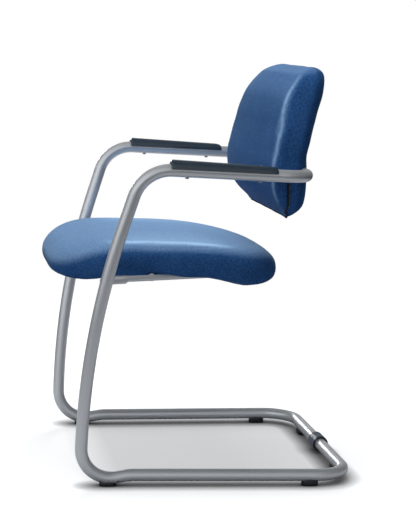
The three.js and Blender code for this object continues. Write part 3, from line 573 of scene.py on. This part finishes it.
rod_lines = []
for side, name in both_sides:
    inner = leg_at_plate.x - tube_radius - plate_sink
    outer = inner + plate_thickness
    rings = [plate_ring(side * x, inset) for x, inset in (
        (inner, plate_edge), (inner + plate_edge / 3, plate_edge / 3), (inner + plate_edge, 0),
        (outer - plate_edge, 0), (outer - plate_edge / 3, plate_edge / 3), (outer, plate_edge),
    )]
    add_piece("leg_plate_" + name, skin_mesh(rings), coat_finish,
              ("seat_bracket_" + name,))
    corners = [(at(side * x, y, rod_height), radius / 1000) for (x, y), radius in rod_corners]
    rod_lines.append(bent_line(corners, 0.004))
    mesh = skin_mesh(round_tube(rod_lines[-1], rod_radius / 1000, 32))
    add_piece("side_rod_" + name, mesh, coat_finish, ("seat_rail_" + name,))
    for y, place in ((leg_weld_y, "rear"), (-leg_weld_y, "front")):
        foot = leg_at_plate + Vector((0, y, -leg_weld_drop))
        foot.x = outer
        top = foot + Vector((leg_weld_lean, 0, leg_weld_height))
        ends = [Vector((side * point.x, point.y, point.z)) for point in (foot, top)]
        weld_bead(f"leg_weld_{place}_{name}", ends)
    for z, place in ((rod_weld_rise, "upper"), (-rod_weld_rise, "lower")):
        ends = [at(side * rod_weld_x, y, rod_height) + Vector((0, 0, z)) for y in rod_weld_run]
        weld_bead(f"rod_weld_{place}_{name}", ends)
for place, (y, half) in cross_rods.items():
    ends = [at(side * (half - cross_rod_sink), y, rod_height) for side in (-1, 1)]
    name = "cross_rod_" + place
    line = [ends[0], ends[0].lerp(ends[1], 0.5), ends[1]]
    mesh = skin_mesh(round_tube(line, rod_radius / 1000, 32))
    add_piece(name, mesh, coat_finish, ("seat_bar_" + place,))
    rod_lines.append([ends[0].lerp(ends[1], k / 100) for k in range(101)])
    for side, side_name in both_sides:
        turns = [tau * k / 24 for k in range(25)]
        reach = (rod_radius + cross_weld_gap) / 1000
        centre = at(side * (half - cross_weld_inset), y, rod_height)
        ring = [centre + Vector((0, reach * cos(t), reach * sin(t))) for t in turns]
        weld_bead(f"cross_weld_{place}_{side_name}", ring)
dress(coat_finish, "seat_tab_front_left", "seat_tab_rear_left", "seat_tab_front_right", "seat_tab_rear_right")

# Seat pan. Flat plywood with a tee nut over each tab. A thin moulded shell covers it from below,
# and four socket screws go up through the tabs, the shell and the pan into the nuts.
screw_sides, ply_pitch = 48, 0.003


def socket_screw(name, node, head_radius, head_height, shank_radius, socket_radius):
    """A screw with a hexagon socket in its domed head, head down, where the node's box says."""
    low, high, middle = box_of(node)
    turns = [tau * s / screw_sides for s in range(screw_sides)]
    sixth = pi / 6
    flats = [cos(sixth) / cos((t + sixth) % (2 * sixth) - sixth) for t in turns]
    rings = []
    for radius, height, hexagonal in (
        (socket_radius * 0.96, head_height * 0.6, True), (socket_radius, head_height * 0.1, True),
        (socket_radius * 1.12, 0, True), (head_radius * 0.8, 0, False),
        (head_radius * 0.95, head_height * 0.16, False), (head_radius, head_height * 0.42, False),
        (head_radius, head_height, False), (shank_radius, head_height, False),
        (shank_radius, high.z - low.z - shank_radius * 0.4, False),
        (shank_radius * 0.7, high.z - low.z, False),
    ):
        reach = [radius * flat if hexagonal else radius for flat in flats]
        rings.append([Vector((middle.x + r * cos(t), middle.y + r * sin(t), low.z + height))
                      for r, t in zip(reach, turns)])
    add_piece(name, skin_mesh(rings), zinc_finish, (node,))


ply = new_finish("beech_ply")
ply_stretch = ply.node("ShaderNodeVectorMath", {"operation": "MULTIPLY"}, {0: ply.place(), 1: (1, 0.06, 1)})
ply_grain = ply.grain(0.0035, detail=5, roughness=0.65, place=ply_stretch)
ply_layers = ply.sine(ply.parts(ply.place())[2] * (tau / ply_pitch)) * 0.5 + 0.5
ply_finish = ply.shade(
    Base_Color=ply.between(ply_grain * 0.75 + ply_layers * 0.25, (150, 112, 72), (206, 172, 126)),
    Roughness=0.55 + ply_grain * 0.25,
    Normal=ply.bump(ply_grain, 0.0002),
)
dress(ply_finish, "seat_pan", "back_board")
dress(moulded_finish, "seat_bottom_shell")
for row in ("front", "rear"):
    for side_name in ("left", "right"):
        place = f"{row}_{side_name}"
        dress(zinc_finish, "seat_tee_nut_" + place)
        socket_screw("pan_screw_" + place, "seat_screw_" + place, 0.0055, 0.0032, 0.003, 0.0026)

# Seat cushion. Moulded foam on the flat pan under one cover of plain woven blue cloth, which is
# pulled taut round the foam and stapled under the pan. It has no welt, so its edges are soft.
seat_half_width = 238
seat_half_length = 243.95
seat_middle = 178.65
seat_front_squareness, seat_rear_squareness = 3.6, 3.0
seat_top, seat_bottom = 482, 421.4
seat_crown = 11
seat_front_fall, seat_rear_fall = 19, 30
seat_front_droop, seat_rear_droop = 17, 24
seat_steps = 144
seat_ring_count = 52
seat_pocket_inset, seat_pocket_top = 36.2, 446.0
cloth_voxel, cloth_give, cloth_steps = 0.005, 0.003, 20
cloth_fill, cloth_pressure, calm_rounds = 0.9, 4, 12
gather_pitch, gather_depth = 0.009, 0.0012
rod_dent_reach, rod_dent_depth, rod_play = 0.010, 0.0065, 0.6
# Place and strength of the painted highlight along the seat's top edge, and of the painted light on its top
# and front.
ridge_turn, ridge_spread, painted_ridge_light = 0.17, 0.09, 0.8
front_tilt, painted_top_light = 0.66, 0.37


def along_table(table, share):
    """Each column of the table where its first column reaches the share, along smooth curves."""
    k = max(i for i in range(len(table) - 1) if table[i][0] <= share or i == 0)
    start, end = table[k], table[k + 1]
    before, after = table[max(k - 1, 0)], table[min(k + 2, len(table) - 1)]
    span = end[0] - start[0]
    t = (share - start[0]) / span
    values = []
    for column in range(1, len(start)):
        rise_in = (end[column] - before[column]) / (end[0] - before[0]) * span
        rise_out = (after[column] - start[column]) / (after[0] - start[0]) * span
        values.append(
            (2 * t**3 - 3 * t**2 + 1) * start[column] + (t**3 - 2 * t**2 + t) * rise_in
            + (3 * t**2 - 2 * t**3) * end[column] + (t**3 - t**2) * rise_out
        )
    return values


def ease(value, start, end):
    """0 up to the start and 1 from the end, with a smooth step between them."""
    t = np.clip((value - start) / (end - start), 0, 1)
    return t * t * (3 - 2 * t)


def seat_top_at(share):
    front = min(max((-share - 0.5) / 0.5, 0), 1)
    rear = min(max(share, 0), 1)
    return seat_top - seat_front_fall * front**2 - seat_rear_fall * rear**2


def seat_bottom_at(share):
    droop = seat_front_droop * ease(-share, 0.36, 0.84) + seat_rear_droop * ease(share, 0.22, 0.76)
    return seat_bottom - droop


def seat_outline(side_inset, front_inset, height_at):
    ring = []
    for k in range(seat_steps):
        turn = tau * (k + 0.5) / seat_steps
        power = seat_front_squareness if sin(turn) < 0 else seat_rear_squareness
        reach = (abs(cos(turn)) ** power + abs(sin(turn)) ** power) ** (-1 / power)
        end_inset = front_inset if sin(turn) < 0 else side_inset
        x = (seat_half_width - side_inset) * reach * cos(turn)
        y = seat_middle + (seat_half_length - end_inset) * reach * sin(turn)
        ring.append(at(x, y, height_at((y - seat_middle) / seat_half_length)))
    return ring


def puff_up(piece):
    """Lets the cover swell on its foam: a cloth simulation, calmed, capped and made finer."""
    remesh = piece.modifiers.new("remesh", "REMESH")
    remesh.mode = "VOXEL"
    remesh.voxel_size = cloth_voxel
    apply_modifiers(piece)
    rest = points_of(piece)
    cover = piece.modifiers.new("cover", "CLOTH")
    settings = cover.settings
    settings.quality = 4
    settings.mass = 0.25
    settings.tension_stiffness = settings.compression_stiffness = 25
    settings.bending_stiffness = 1
    settings.use_pressure = True
    settings.uniform_pressure_force = cloth_pressure
    settings.effector_weights.gravity = 0
    cover.point_cache.frame_start, cover.point_cache.frame_end = 1, cloth_steps
    for step in range(1, cloth_steps + 1):
        scene.frame_set(step)
    apply_modifiers(piece)
    scene.frame_set(1)
    moves = points_of(piece) - rest
    ends = np.empty(2 * len(piece.data.edges), dtype=int)
    piece.data.edges.foreach_get("vertices", ends)
    one, other = ends.reshape(-1, 2).T
    for _ in range(calm_rounds):
        total, count = moves.copy(), np.ones((len(moves), 1))
        np.add.at(total, one, moves[other])
        np.add.at(total, other, moves[one])
        np.add.at(count, one, 1)
        np.add.at(count, other, 1)
        moves = total / count
    length = np.linalg.norm(moves, axis=1, keepdims=True) + 1e-9
    move_points(piece, rest + moves / length * cloth_give * np.tanh(length / cloth_give))
    finer = piece.modifiers.new("finer", "SUBSURF")
    finer.levels = finer.render_levels = 1
    apply_modifiers(piece)


def bump_at(values, centre, spread):
    """A bell that is 1 at its centre."""
    return np.exp(-(((values - centre) / spread) ** 2))


def turned_to(outward, one, other):
    """How far normals turn between two axes, from 0 to 1."""
    return np.abs(outward[:, one]) / (np.abs(outward[:, one]) + np.abs(outward[:, other]) + 1e-6)


def mark(piece, name, values):
    """Stores a number for each point of the piece for its finish to read."""
    layer = piece.data.attributes.new(name, "FLOAT", "POINT")
    layer.data.foreach_set("value", np.asarray(values, dtype=np.float32))


# The cloth's yarns cross every 1.6 mm. Painted light makes the cover paler along its edges and on faces
# turned up or forward. Painted shade makes it darker in creases, beside the slit and over the rods.
yarn_pitch, melange_size, cloth_sheen = 0.0016, 0.003, 0.12
cloth_dark, painted_highlight_colour = (27, 53, 96), (166, 203, 241)
cloth_stops = (0.32, cloth_dark), (0.5, (46, 82, 132)), (0.7, (67, 107, 160))
cloth = new_finish("blue_cloth")
nx, ny, nz = (abs(part) ** 4 for part in cloth.parts(cloth.node("ShaderNodeTexCoord", output=1)))
waves = [cloth.sine(part * (pi / yarn_pitch)) for part in cloth.parts(cloth.place())]
crossing = waves[0] * waves[1] * nz + waves[1] * waves[2] * nx + waves[0] * waves[2] * ny
weave = crossing / (nx + ny + nz) / 2 + 0.5
melange = cloth.grain(melange_size, detail=4, roughness=0.7)
yarns = melange * 0.7 + weave * 0.2 + cloth.grain(0.05) * 0.1
ground = cloth.node("ShaderNodeValToRGB", inputs={0: yarns})
stops = ground.socket.node.color_ramp.elements
stops.new(1)
for stop, (place, colour) in zip(stops, cloth_stops):
    stop.position, stop.color = place, shade_of(*colour)
# Painted light and painted shade stored on the cushions' points.
painted_light, shade = (cloth.node("ShaderNodeAttribute", {"attribute_name": name}, output=2)
                  for name in ("painted_light", "shade"))
tone = cloth.between(painted_light * (melange * 1.2 + 0.4), ground, painted_highlight_colour)
cloth_finish = cloth.shade(
    Base_Color=cloth.between(shade, tone, cloth_dark),
    Roughness=0.5 + melange * 0.12,
    Specular_IOR_Level=0,
    Sheen_Weight=cloth_sheen,
    Sheen_Roughness=0.25,
    Sheen_Tint=(0.8, 1, 0.92, 1),
    Normal=cloth.bump(weave * 0.6 + melange * 0.4, 0.00035),
)

# Inset from the sides and from the front, share of the height there, and share of the crown.
seat_profile = [
    (0.00, 80, 76, 0.10, 0), (0.08, 40, 38, 0.0, 0), (0.16, 20, 19, 0.0, 0), (0.23, 8, 8, 0.07, 0),
    (0.30, 1.8, 2.5, 0.22, 0), (0.38, 0, 1, 0.41, 0), (0.46, 0.6, 3, 0.58, 0), (0.53, 3.4, 9, 0.74, 0),
    (0.60, 9.5, 19, 0.88, 0), (0.67, 19, 33, 0.965, 0.5), (0.74, 34, 52, 0.995, 1), (0.82, 62, 80, 1.0, 1),
    (0.90, 110, 124, 1.0, 1), (0.97, 170, 178, 1.0, 1),
]
seat_rings = []
for k in range(seat_ring_count):
    side_inset, front_inset, height_share, crown_share = along_table(
        seat_profile, 0.97 * k / (seat_ring_count - 1))
    crown = seat_crown * crown_share * (1 - (1 - side_inset / seat_half_width) ** 2)
    seat_rings.append(seat_outline(side_inset, front_inset, lambda share: (
        seat_bottom_at(share) + height_share * (seat_top_at(share) - seat_bottom_at(share)) + crown
    )))
seat = add_piece("seat_cushion", skin_mesh(seat_rings), cloth_finish,
                 ("seat_cover", "seat_foam"), soft=True)
puff_up(seat)
pocket = [seat_outline(seat_pocket_inset, seat_pocket_inset, lambda share: height)
          for height in (350, seat_pocket_top)]
cut_away(seat, cutter_of(skin_mesh(pocket), cloth_finish))
places, outward = points_of(seat), points_of(seat, "normal")
seat_centre = at(0, seat_middle, 0).y
corner = ease(np.abs(places[:, 0]), 0.13, 0.2) * ease(np.abs(places[:, 1] - seat_centre), 0.13, 0.2)
under = 1 - ease(outward[:, 2], -0.9, -0.1)
around_seat = np.arctan2(places[:, 1] - seat_centre, places[:, 0]) * 0.3
gathers = gather_depth * np.sin(tau * around_seat / gather_pitch) * corner * under
places = places + outward * gathers[:, None]
rod_top = (rod_height + rod_radius + rod_play) / 1000
low_points = np.nonzero(places[:, 2] < rod_top + 0.002)[0]
rod_points = np.array([point[:2] for line in rod_lines for point in line])
aside = np.linalg.norm(places[low_points, None, :2] - rod_points[None], axis=2).min(axis=1)
lifted = rod_top - rod_dent_depth * (aside / rod_dent_reach) ** 2
near_rod = aside < rod_dent_reach
places[low_points, 2] = np.where(near_rod, np.maximum(places[low_points, 2], lifted), places[low_points, 2])
move_points(seat, places)
# Painted light: paler along the top edge and on faces turned up or forward.
out_y, out_z = outward[:, 1], outward[:, 2]
painted_ridge = bump_at(turned_to(outward, 0, 2), ridge_turn, ridge_spread) * ease(out_z, 0, 0.3)
painted_ridge *= 1 - ease(np.abs(out_y), 0.1, 0.4)
painted_ridge *= 1 - ease(np.abs(places[:, 1] - seat_centre), 0.06, 0.16)
raised = out_z + front_tilt * np.maximum(-out_y, 0)
mark(seat, "painted_light", np.clip(painted_ridge * painted_ridge_light + ease(raised, 0.45, 1.0) * painted_top_light, 0, 1))
# Painted shadow: darker on the underside beside the rods.
painted_rod_shadow = np.zeros(len(painted_ridge))
painted_rod_shadow[low_points] = bump_at(aside, 0, rod_dent_reach)
mark(seat, "shade", painted_rod_shadow)

# Back board. Bent plywood that carries the foam, held to the back bar by two moulded saddles and by
# a bolt through each, which goes through the tube into a tee nut in the board.
dress(moulded_finish, "back_saddle_left", "back_saddle_right")
dress(zinc_finish, "back_bolt_left", "back_bolt_right", "back_tee_nut_left", "back_tee_nut_right")

# Back cushion. Foam on both faces of a bent board, in one bag of the same blue cloth, pulled on
# from above and closed by a dark hem below. The tube enters it through a black-lined slit.
back_bottom, back_height = 540, 308
back_half_width = 245
back_front, back_depth = 369.7, 108
back_front_edge, back_rear_edge = 14, 22
back_front_crown, back_rear_crown = 8, 26
back_levels = [
    (0.000, 0.735, 0.395, 0.480), (0.035, 0.775, 0.345, 0.600), (0.064, 0.837, 0.270, 0.630),
    (0.110, 0.906, 0.148, 0.640), (0.190, 0.967, 0.020, 0.625), (0.280, 1.000, -0.020, 0.600),
    (0.370, 1.000, -0.012, 0.590), (0.430, 0.998, 0.020, 0.608), (0.510, 0.985, 0.060, 0.656),
    (0.590, 0.962, 0.107, 0.706), (0.660, 0.933, 0.144, 0.764), (0.730, 0.899, 0.195, 0.824),
    (0.800, 0.862, 0.262, 0.900), (0.860, 0.828, 0.354, 0.954), (0.910, 0.794, 0.462, 0.990),
    (0.955, 0.742, 0.585, 1.000), (0.985, 0.665, 0.745, 0.980), (1.000, 0.560, 0.850, 0.930),
]
back_ring_count = 72
back_corner_steps = 8
back_face_steps = 28
bar_height, bar_cover = 634.8, 449.5
bar_swell_height, bar_swell_width = (10, 42), (165, 205)
# Painted highlight along the back's front edges and on its top, painted glow on its front, and painted shade
# in its rear creases and beside the slit.
edge_turn, edge_spread, painted_edge_highlight = 0.36, 0.14, 0.42
painted_top_edge_light = 0.14
glow_turn, glow_spread, painted_side_glow, painted_top_glow = 0.3, 0.25, 0.06, 0.1
crease_turn, crease_spread, crease_shade = 0.62, 0.12, 0.35


def back_ring(half_width, front, rear, height):
    ring = []
    thickness = rear - front
    front_radius = min(back_front_edge, thickness * 0.4)
    rear_radius = min(back_rear_edge, thickness * 0.5)
    fullness = rear_radius / back_rear_edge

    def add(x, y, outward):
        crown = back_front_crown if outward < 0 else back_rear_crown
        y += crown * outward * fullness * (1 - (x / half_width) ** 2)
        if outward > 0:
            level_with_bar = float(1 - ease(abs(height - bar_height), *bar_swell_height))
            over_bar = level_with_bar * float(1 - ease(abs(x), *bar_swell_width))
            y += max(bar_cover - y, 0) * over_bar * outward
        ring.append(at(x, y, height))

    for corner_x, corner_y, radius, start in (
        (half_width - front_radius, front + front_radius, front_radius, -90),
        (half_width - rear_radius, rear - rear_radius, rear_radius, 0),
        (rear_radius - half_width, rear - rear_radius, rear_radius, 90),
        (front_radius - half_width, front + front_radius, front_radius, 180),
    ):
        for k in range(back_corner_steps + 1):
            turn = radians(start + 90 * k / back_corner_steps)
            add(corner_x + radius * cos(turn), corner_y + radius * sin(turn), sin(turn))
        if start in (0, 180):
            edge, facing = (rear, 1) if start == 0 else (front, -1)
            for k in range(1, back_face_steps):
                add(corner_x * (1 - 2 * k / back_face_steps), edge, facing)
    return ring


back_rings = []
for k in range(back_ring_count):
    level = 0.5 - 0.5 * cos(pi * k / (back_ring_count - 1))
    width, front, rear = along_table(back_levels, level)
    front, rear = (back_front + back_depth * share for share in (front, rear))
    back_rings.append(back_ring(back_half_width * width, front, rear, back_bottom + back_height * level))
back = add_piece("back_cushion", skin_mesh(back_rings), cloth_finish,
                 ("back_cover", "back_foam_front", "back_foam_rear"), soft=True)
puff_up(back)

slit_foot, slit_head = (410.7, 549), (397.7, 622.3)
slit_half_width, slit_wave, slit_depth = 2.4, 0.35, 18
ruche_height, ruche_pitch, ruche_reach = 0.0011, 0.0135, 0.011
ruche_slope, fine_pitch, fine_turn, ruche_sink, ruche_sink_reach = 0.15, 0.43, 2, 0.0012, 0.005
slit_shade, slit_shade_reach = 0.5, 0.006
tube_hole_radius, tube_hole_start = 0.0147, 0.196


def back_half_at(height):
    return along_table(back_levels, (height - back_bottom) / back_height)[0] * back_half_width


def slit_middle_at(height):
    share = (height - slit_foot[1]) / (slit_head[1] - slit_foot[1])
    return slit_foot[0] + share * (slit_head[0] - slit_foot[0])


def by_slit(low, high):
    """The back's points and normals, their distance from the slit, and which are beside it."""
    places, outward = points_of(back), points_of(back, "normal")
    heights = places[:, 2] * 1000
    gap = np.abs(places[:, 1] - (slit_middle_at(heights) / 1000 + frame_start))
    return places, outward, gap, ease(np.abs(outward[:, 0]), 0.3, 0.7) * (heights > low) * (heights < high)


# Small folds run into the slit and fade away from it.
places, outward, slit_gap, beside = by_slit(536, 618)
folds = np.sin(tau * (places[:, 2] + ruche_slope * slit_gap) / ruche_pitch + np.sign(places[:, 0]))
folds += 0.5 * np.sin(tau * places[:, 2] / (fine_pitch * ruche_pitch) + fine_turn)
pull = ruche_height * np.exp(-slit_gap / ruche_reach) * beside
sink = ruche_sink * bump_at(slit_gap, 0, ruche_sink_reach) * beside
move_points(back, places + outward * (pull * folds - sink)[:, None])

lining_finish = cloudy_finish("black_lining", 0.0009, 2, ((9, 11, 15), (24, 27, 33)),
                              0.85, 0.1, 0.0009, 2, 0.0002)
cutters = []
for side, name in both_sides:
    outline = []
    for edge in (-1, 1):
        steps = [k / 40 for k in range(41)]
        for share in steps if edge < 0 else reversed(steps):
            height = slit_foot[1] - 2 + share * (slit_head[1] - slit_foot[1] + 2)
            half = slit_half_width * min(1, 0.25 + 4 * share)
            half += slit_wave * sin(height * 0.9 + 2 * edge)
            outline.append((slit_middle_at(height) + edge * half, height))
    rings = []
    for depth in (-12, slit_depth):
        ring = []
        for y, height in outline:
            ring.append(at(side * (back_half_at(height) - depth), y, height))
        rings.append(ring)
    cutters.append(cutter_of(skin_mesh(rings), lining_finish))
    bend = [point for point in loop_lines[name]
            if abs(point.x) > tube_hole_start and point.y > 0.1 and point.z > 0.5]
    hole = skin_mesh(round_tube(bend, tube_hole_radius, 32))
    cutters.append(cutter_of(hole, lining_finish))
cut_away(back, *cutters)
dress(lining_finish, "back_slit_lining_left", "back_slit_lining_right")

places, outward, slit_gap, beside = by_slit(540, 622)
# Painted light: paler along the front edges, on the top and on the front.
turned, out_y, out_z = turned_to(outward, 0, 1), outward[:, 1], outward[:, 2]
painted_front_ridge = bump_at(turned, edge_turn, edge_spread) * (out_y < 0)
painted_front_ridge *= 1 - ease(np.abs(out_z), 0.5, 0.9)
painted_front_glow = bump_at(turned, glow_turn, glow_spread) * (out_y < 0) * painted_side_glow
painted_front_glow += ease(out_z, 0.15, 0.6) * ease(-out_y, 0.2, 0.6) * painted_top_glow
painted_top_ridge = ease(out_z, 0.7, 1)
mark(back, "painted_light", np.clip(
    painted_front_ridge * painted_edge_highlight + painted_top_ridge * painted_top_edge_light + painted_front_glow, 0, 1))
# Painted shade: darker in the rear creases and beside the slit.
painted_crease_shade = bump_at(turned, crease_turn, crease_spread) * (out_y > 0)
painted_slit_shade = slit_shade * bump_at(slit_gap, 0, slit_shade_reach) * beside
mark(back, "shade", np.clip(painted_crease_shade * crease_shade + painted_slit_shade, 0, 1))

# Hem. A dark woven tape that closes the cover's mouth along its lower edge, sewn through with
# short stitches. A second row of stitches shows on the front panel, a little above the edge.
hem_half_height, hem_half_thickness, hem_sink = 2.5, 1.9, 0.0009
hem_middle = 415.6
hem_edge_steps = 16
stitch_pitch, stitch_length, stitch_radius = 5.0, 3.2, 0.00042
panel_stitch_rise = 0.007

tape = new_finish("navy_tape")
tape_x, _, tape_z = tape.parts(tape.place())
tape_twill = tape.sine((tape_x + tape_z) * (tau / 0.0011)) * 0.5 + 0.5
tape_cloud = tape.grain(0.01, detail=3)
tape_finish = tape.shade(
    Base_Color=tape.between(tape_twill * 0.6 + tape_cloud * 0.4, (12, 22, 42), (32, 48, 78)),
    Roughness=0.8 + tape_cloud * 0.15,
    Normal=tape.bump(tape_twill, 0.00015),
)
thread_finish = cloudy_finish("blue_thread", 0.0006, 1, ((46, 82, 130), (104, 142, 188)),
                              0.6, 0.2, 0.0006, 1, 0.0001)


def cloth_at(point, outward):
    """Where a line from outside meets the back cushion."""
    hit, place, _, _ = back.ray_cast(point + outward * 0.06, -outward)
    return place if hit else point


bpy.context.view_layer.update()
hem_path = [(x, back_bottom, 0, -1) for x in range(0, 173, 4)]
for k in range(1, 9):
    height = back_bottom + 1.6 * k
    lean = k / 8
    hem_path.append((back_half_at(height), height, lean, lean - 1))
hem_path = [(-x, z, -nx, nz) for x, z, nx, nz in reversed(hem_path[1:])] + hem_path
hem_line, hem_outs = [], []
for k, (x, z, nx, nz) in enumerate(hem_path):
    out = Vector((nx, 0, nz)).normalized()
    surface = cloth_at(at(x, hem_middle - 4 * abs(nx), z), out)
    hem_line.append(surface + out * hem_sink + Vector((0, 0.0004 * sin(k / 4), 0)))
    hem_outs.append(out)
hem_rings = []
for k, (middle, out) in enumerate(zip(hem_line, hem_outs)):
    fullness = min(1, 0.35 + min(k, len(hem_line) - 1 - k) / 6)
    ring = []
    for s in range(hem_edge_steps):
        turn = tau * s / hem_edge_steps
        y = hem_half_thickness * copysign(abs(cos(turn)) ** 0.5, cos(turn)) * fullness
        u = hem_half_height * copysign(abs(sin(turn)) ** 0.5, sin(turn)) * fullness
        ring.append(middle + Vector((0, y / 1000, 0)) + out * (u / 1000))
    hem_rings.append(ring)
add_piece("hem_tape", skin_mesh(hem_rings), tape_finish,
          ("back_cover_hem",), soft=True)


def stitch(start, end, lift):
    """One stitch that dips into the cloth at both of its ends."""
    middle = start.lerp(end, 0.5) + lift * 1.4
    points = [start, start.lerp(end, 0.15) + lift, middle, start.lerp(end, 0.85) + lift, end]
    return round_tube(points, [stitch_radius * share for share in (0.5, 1, 1.1, 1, 0.5)], 8)


tape_stitches, panel_stitches = [], []
hem_x, hem_z = [point.x for point in hem_line], [point.z for point in hem_line]
for k in range(-33, 34):
    ends = []
    for x in (k * stitch_pitch, k * stitch_pitch + stitch_length):
        height = float(np.interp(x / 1000, hem_x, hem_z))
        ends.append(at(x, hem_middle, 1000 * height))
    for facing in (-1, 1):
        offset = Vector((0, facing * hem_half_thickness / 1000, 0))
        tape_stitches.append(stitch(ends[0] + offset, ends[1] + offset, offset * 0.2))
    on_panel = [cloth_at(point + Vector((0, 0, panel_stitch_rise)), Vector((0, -1, 0))) for point in ends]
    panel_stitches.append(stitch(on_panel[0], on_panel[1], Vector((0, -0.0004, -0.0001))))
add_piece("hem_stitches", skin_mesh(*tape_stitches), tape_finish,
          soft=True)
add_piece("panel_stitches", skin_mesh(*panel_stitches),
          thread_finish, soft=True)

# Arm pads. Moulded slate-grey caps over the arms, glossy with a fine grain. Each has a blunt nose
# with a raised rim and a small moulding hole, and is held from below by two screws.
pad_start, pad_length = 150.9, 211.8
pad_rise, pad_half_width = (8.5, 5), (18, 16)
pad_skirt, pad_bore = 4, 12.7
pad_roundness = 0.8
pad_steps = 28
pad_rim_share, pad_rim_width, pad_rim_depth = 0.2, 0.05, 0.7
pad_hole_radius, pad_hole_depth = 0.0014, 0.005
pad_nose = [(0, 0.80, 0.92), (0.3, 0.87, 0.955), (0.9, 0.94, 0.98), (2.2, 0.985, 0.995), (5, 1, 1)]
pad_tail = [
    (14, 1, 1), (8, 0.965, 0.99), (4, 0.89, 0.96), (1.8, 0.79, 0.92), (0.6, 0.7, 0.88), (0, 0.6, 0.84),
]

slate = new_finish("slate_pad")
slate_cloud = slate.grain(0.03, detail=3)
slate_grain = slate.grain(0.0009)
slate_finish = slate.shade(
    Base_Color=slate.between(slate_cloud * 0.6 + slate_grain * 0.4, (42, 52, 63), (58, 69, 81)),
    Roughness=0.1 + slate_cloud * 0.06,
    Specular_IOR_Level=0.6,
    Normal=slate.bump(slate_grain, 0.00003),
)


def pad_arcs(run, fullness, breadth):
    """The pad's outer arc and the arc against the tube, at a run along it, in its own lengths."""
    share = run / pad_length
    half = breadth * (pad_half_width[0] + (pad_half_width[1] - pad_half_width[0]) * share)
    rise = tube_radius * 1000 + pad_rise[0] + (pad_rise[1] - pad_rise[0]) * share - pad_skirt
    low_turn = asin(pad_skirt / pad_bore)
    outer, inner = [], []
    for k in range(pad_steps + 1):
        turn = pi * k / pad_steps
        across, up = cos(turn), max(sin(turn), 0)
        outer.append((copysign(abs(across) ** pad_roundness, across) * half,
                      pad_skirt + rise * fullness * up**pad_roundness))
        inner_turn = low_turn + (pi - 2 * low_turn) * k / pad_steps
        inner.append((pad_bore * cos(inner_turn), pad_bore * sin(inner_turn)))
    return outer, inner


def between_arcs(outer, inner, share):
    first = [tuple(a + (b - a) * share for a, b in zip(o, i)) for o, i in zip(outer, inner)]
    second = [tuple(b + (a - b) * share for a, b in zip(o, i)) for o, i in zip(outer, inner)]
    return first, second


for side, name in both_sides:
    front, rear = (at(side * x, y, z) for (x, y, z), _ in loop_corners[5:7])
    along = (rear - front).normalized()
    across = (Vector((1, 0, 0)) - along * along.x).normalized()
    above = across.cross(along)
    start = front + along * (pad_start - loop_corners[5][0][1]) / 1000 / along.y
    stations = [(run, *pad_arcs(run, full, wide)) for run, full, wide in pad_nose]
    stations += [(run, *pad_arcs(run, 1, 1)) for run in range(14, int(pad_length) - 18, 10)]
    ends = [(pad_length - run, full, wide) for run, full, wide in pad_tail]
    stations += [(run, *pad_arcs(run, full, wide)) for run, full, wide in ends]
    rim = between_arcs(*stations[0][1:], pad_rim_share)
    dish = between_arcs(*stations[0][1:], pad_rim_share + pad_rim_width)
    stations = [(pad_rim_depth, *dish), (0, *rim)] + stations
    mesh = bmesh.new()
    rows = []
    for run, outer, inner in stations:
        ring = [start + (along * run + across * u + above * v) / 1000 for u, v in outer + inner[::-1]]
        rows.append([mesh.verts.new(point) for point in ring])
    join_rows(mesh, rows)
    for row in (rows[0], rows[-1]):
        for k in range(pad_steps):
            mesh.faces.new((row[k], row[k + 1], row[-k - 2], row[-k - 1]))
    pad = add_piece("arm_cap_" + name, mesh_from(mesh), slate_finish,
                    ("arm_pad_" + name,))
    hole_middle = start + above * (tube_radius + pad_rise[0] * 0.45 / 1000)
    hole = [hole_middle + along * (share * pad_hole_depth) for share in (-1, 0, 1)]
    cut_away(pad, cutter_of(skin_mesh(round_tube(hole, pad_hole_radius, 20)), moulded_finish))
    for row in ("front", "rear"):
        place = f"{row}_{name}"
        socket_screw("pad_screw_" + place, "arm_pad_screw_" + place, 0.0036, 0.0026, 0.002, 0.0017)
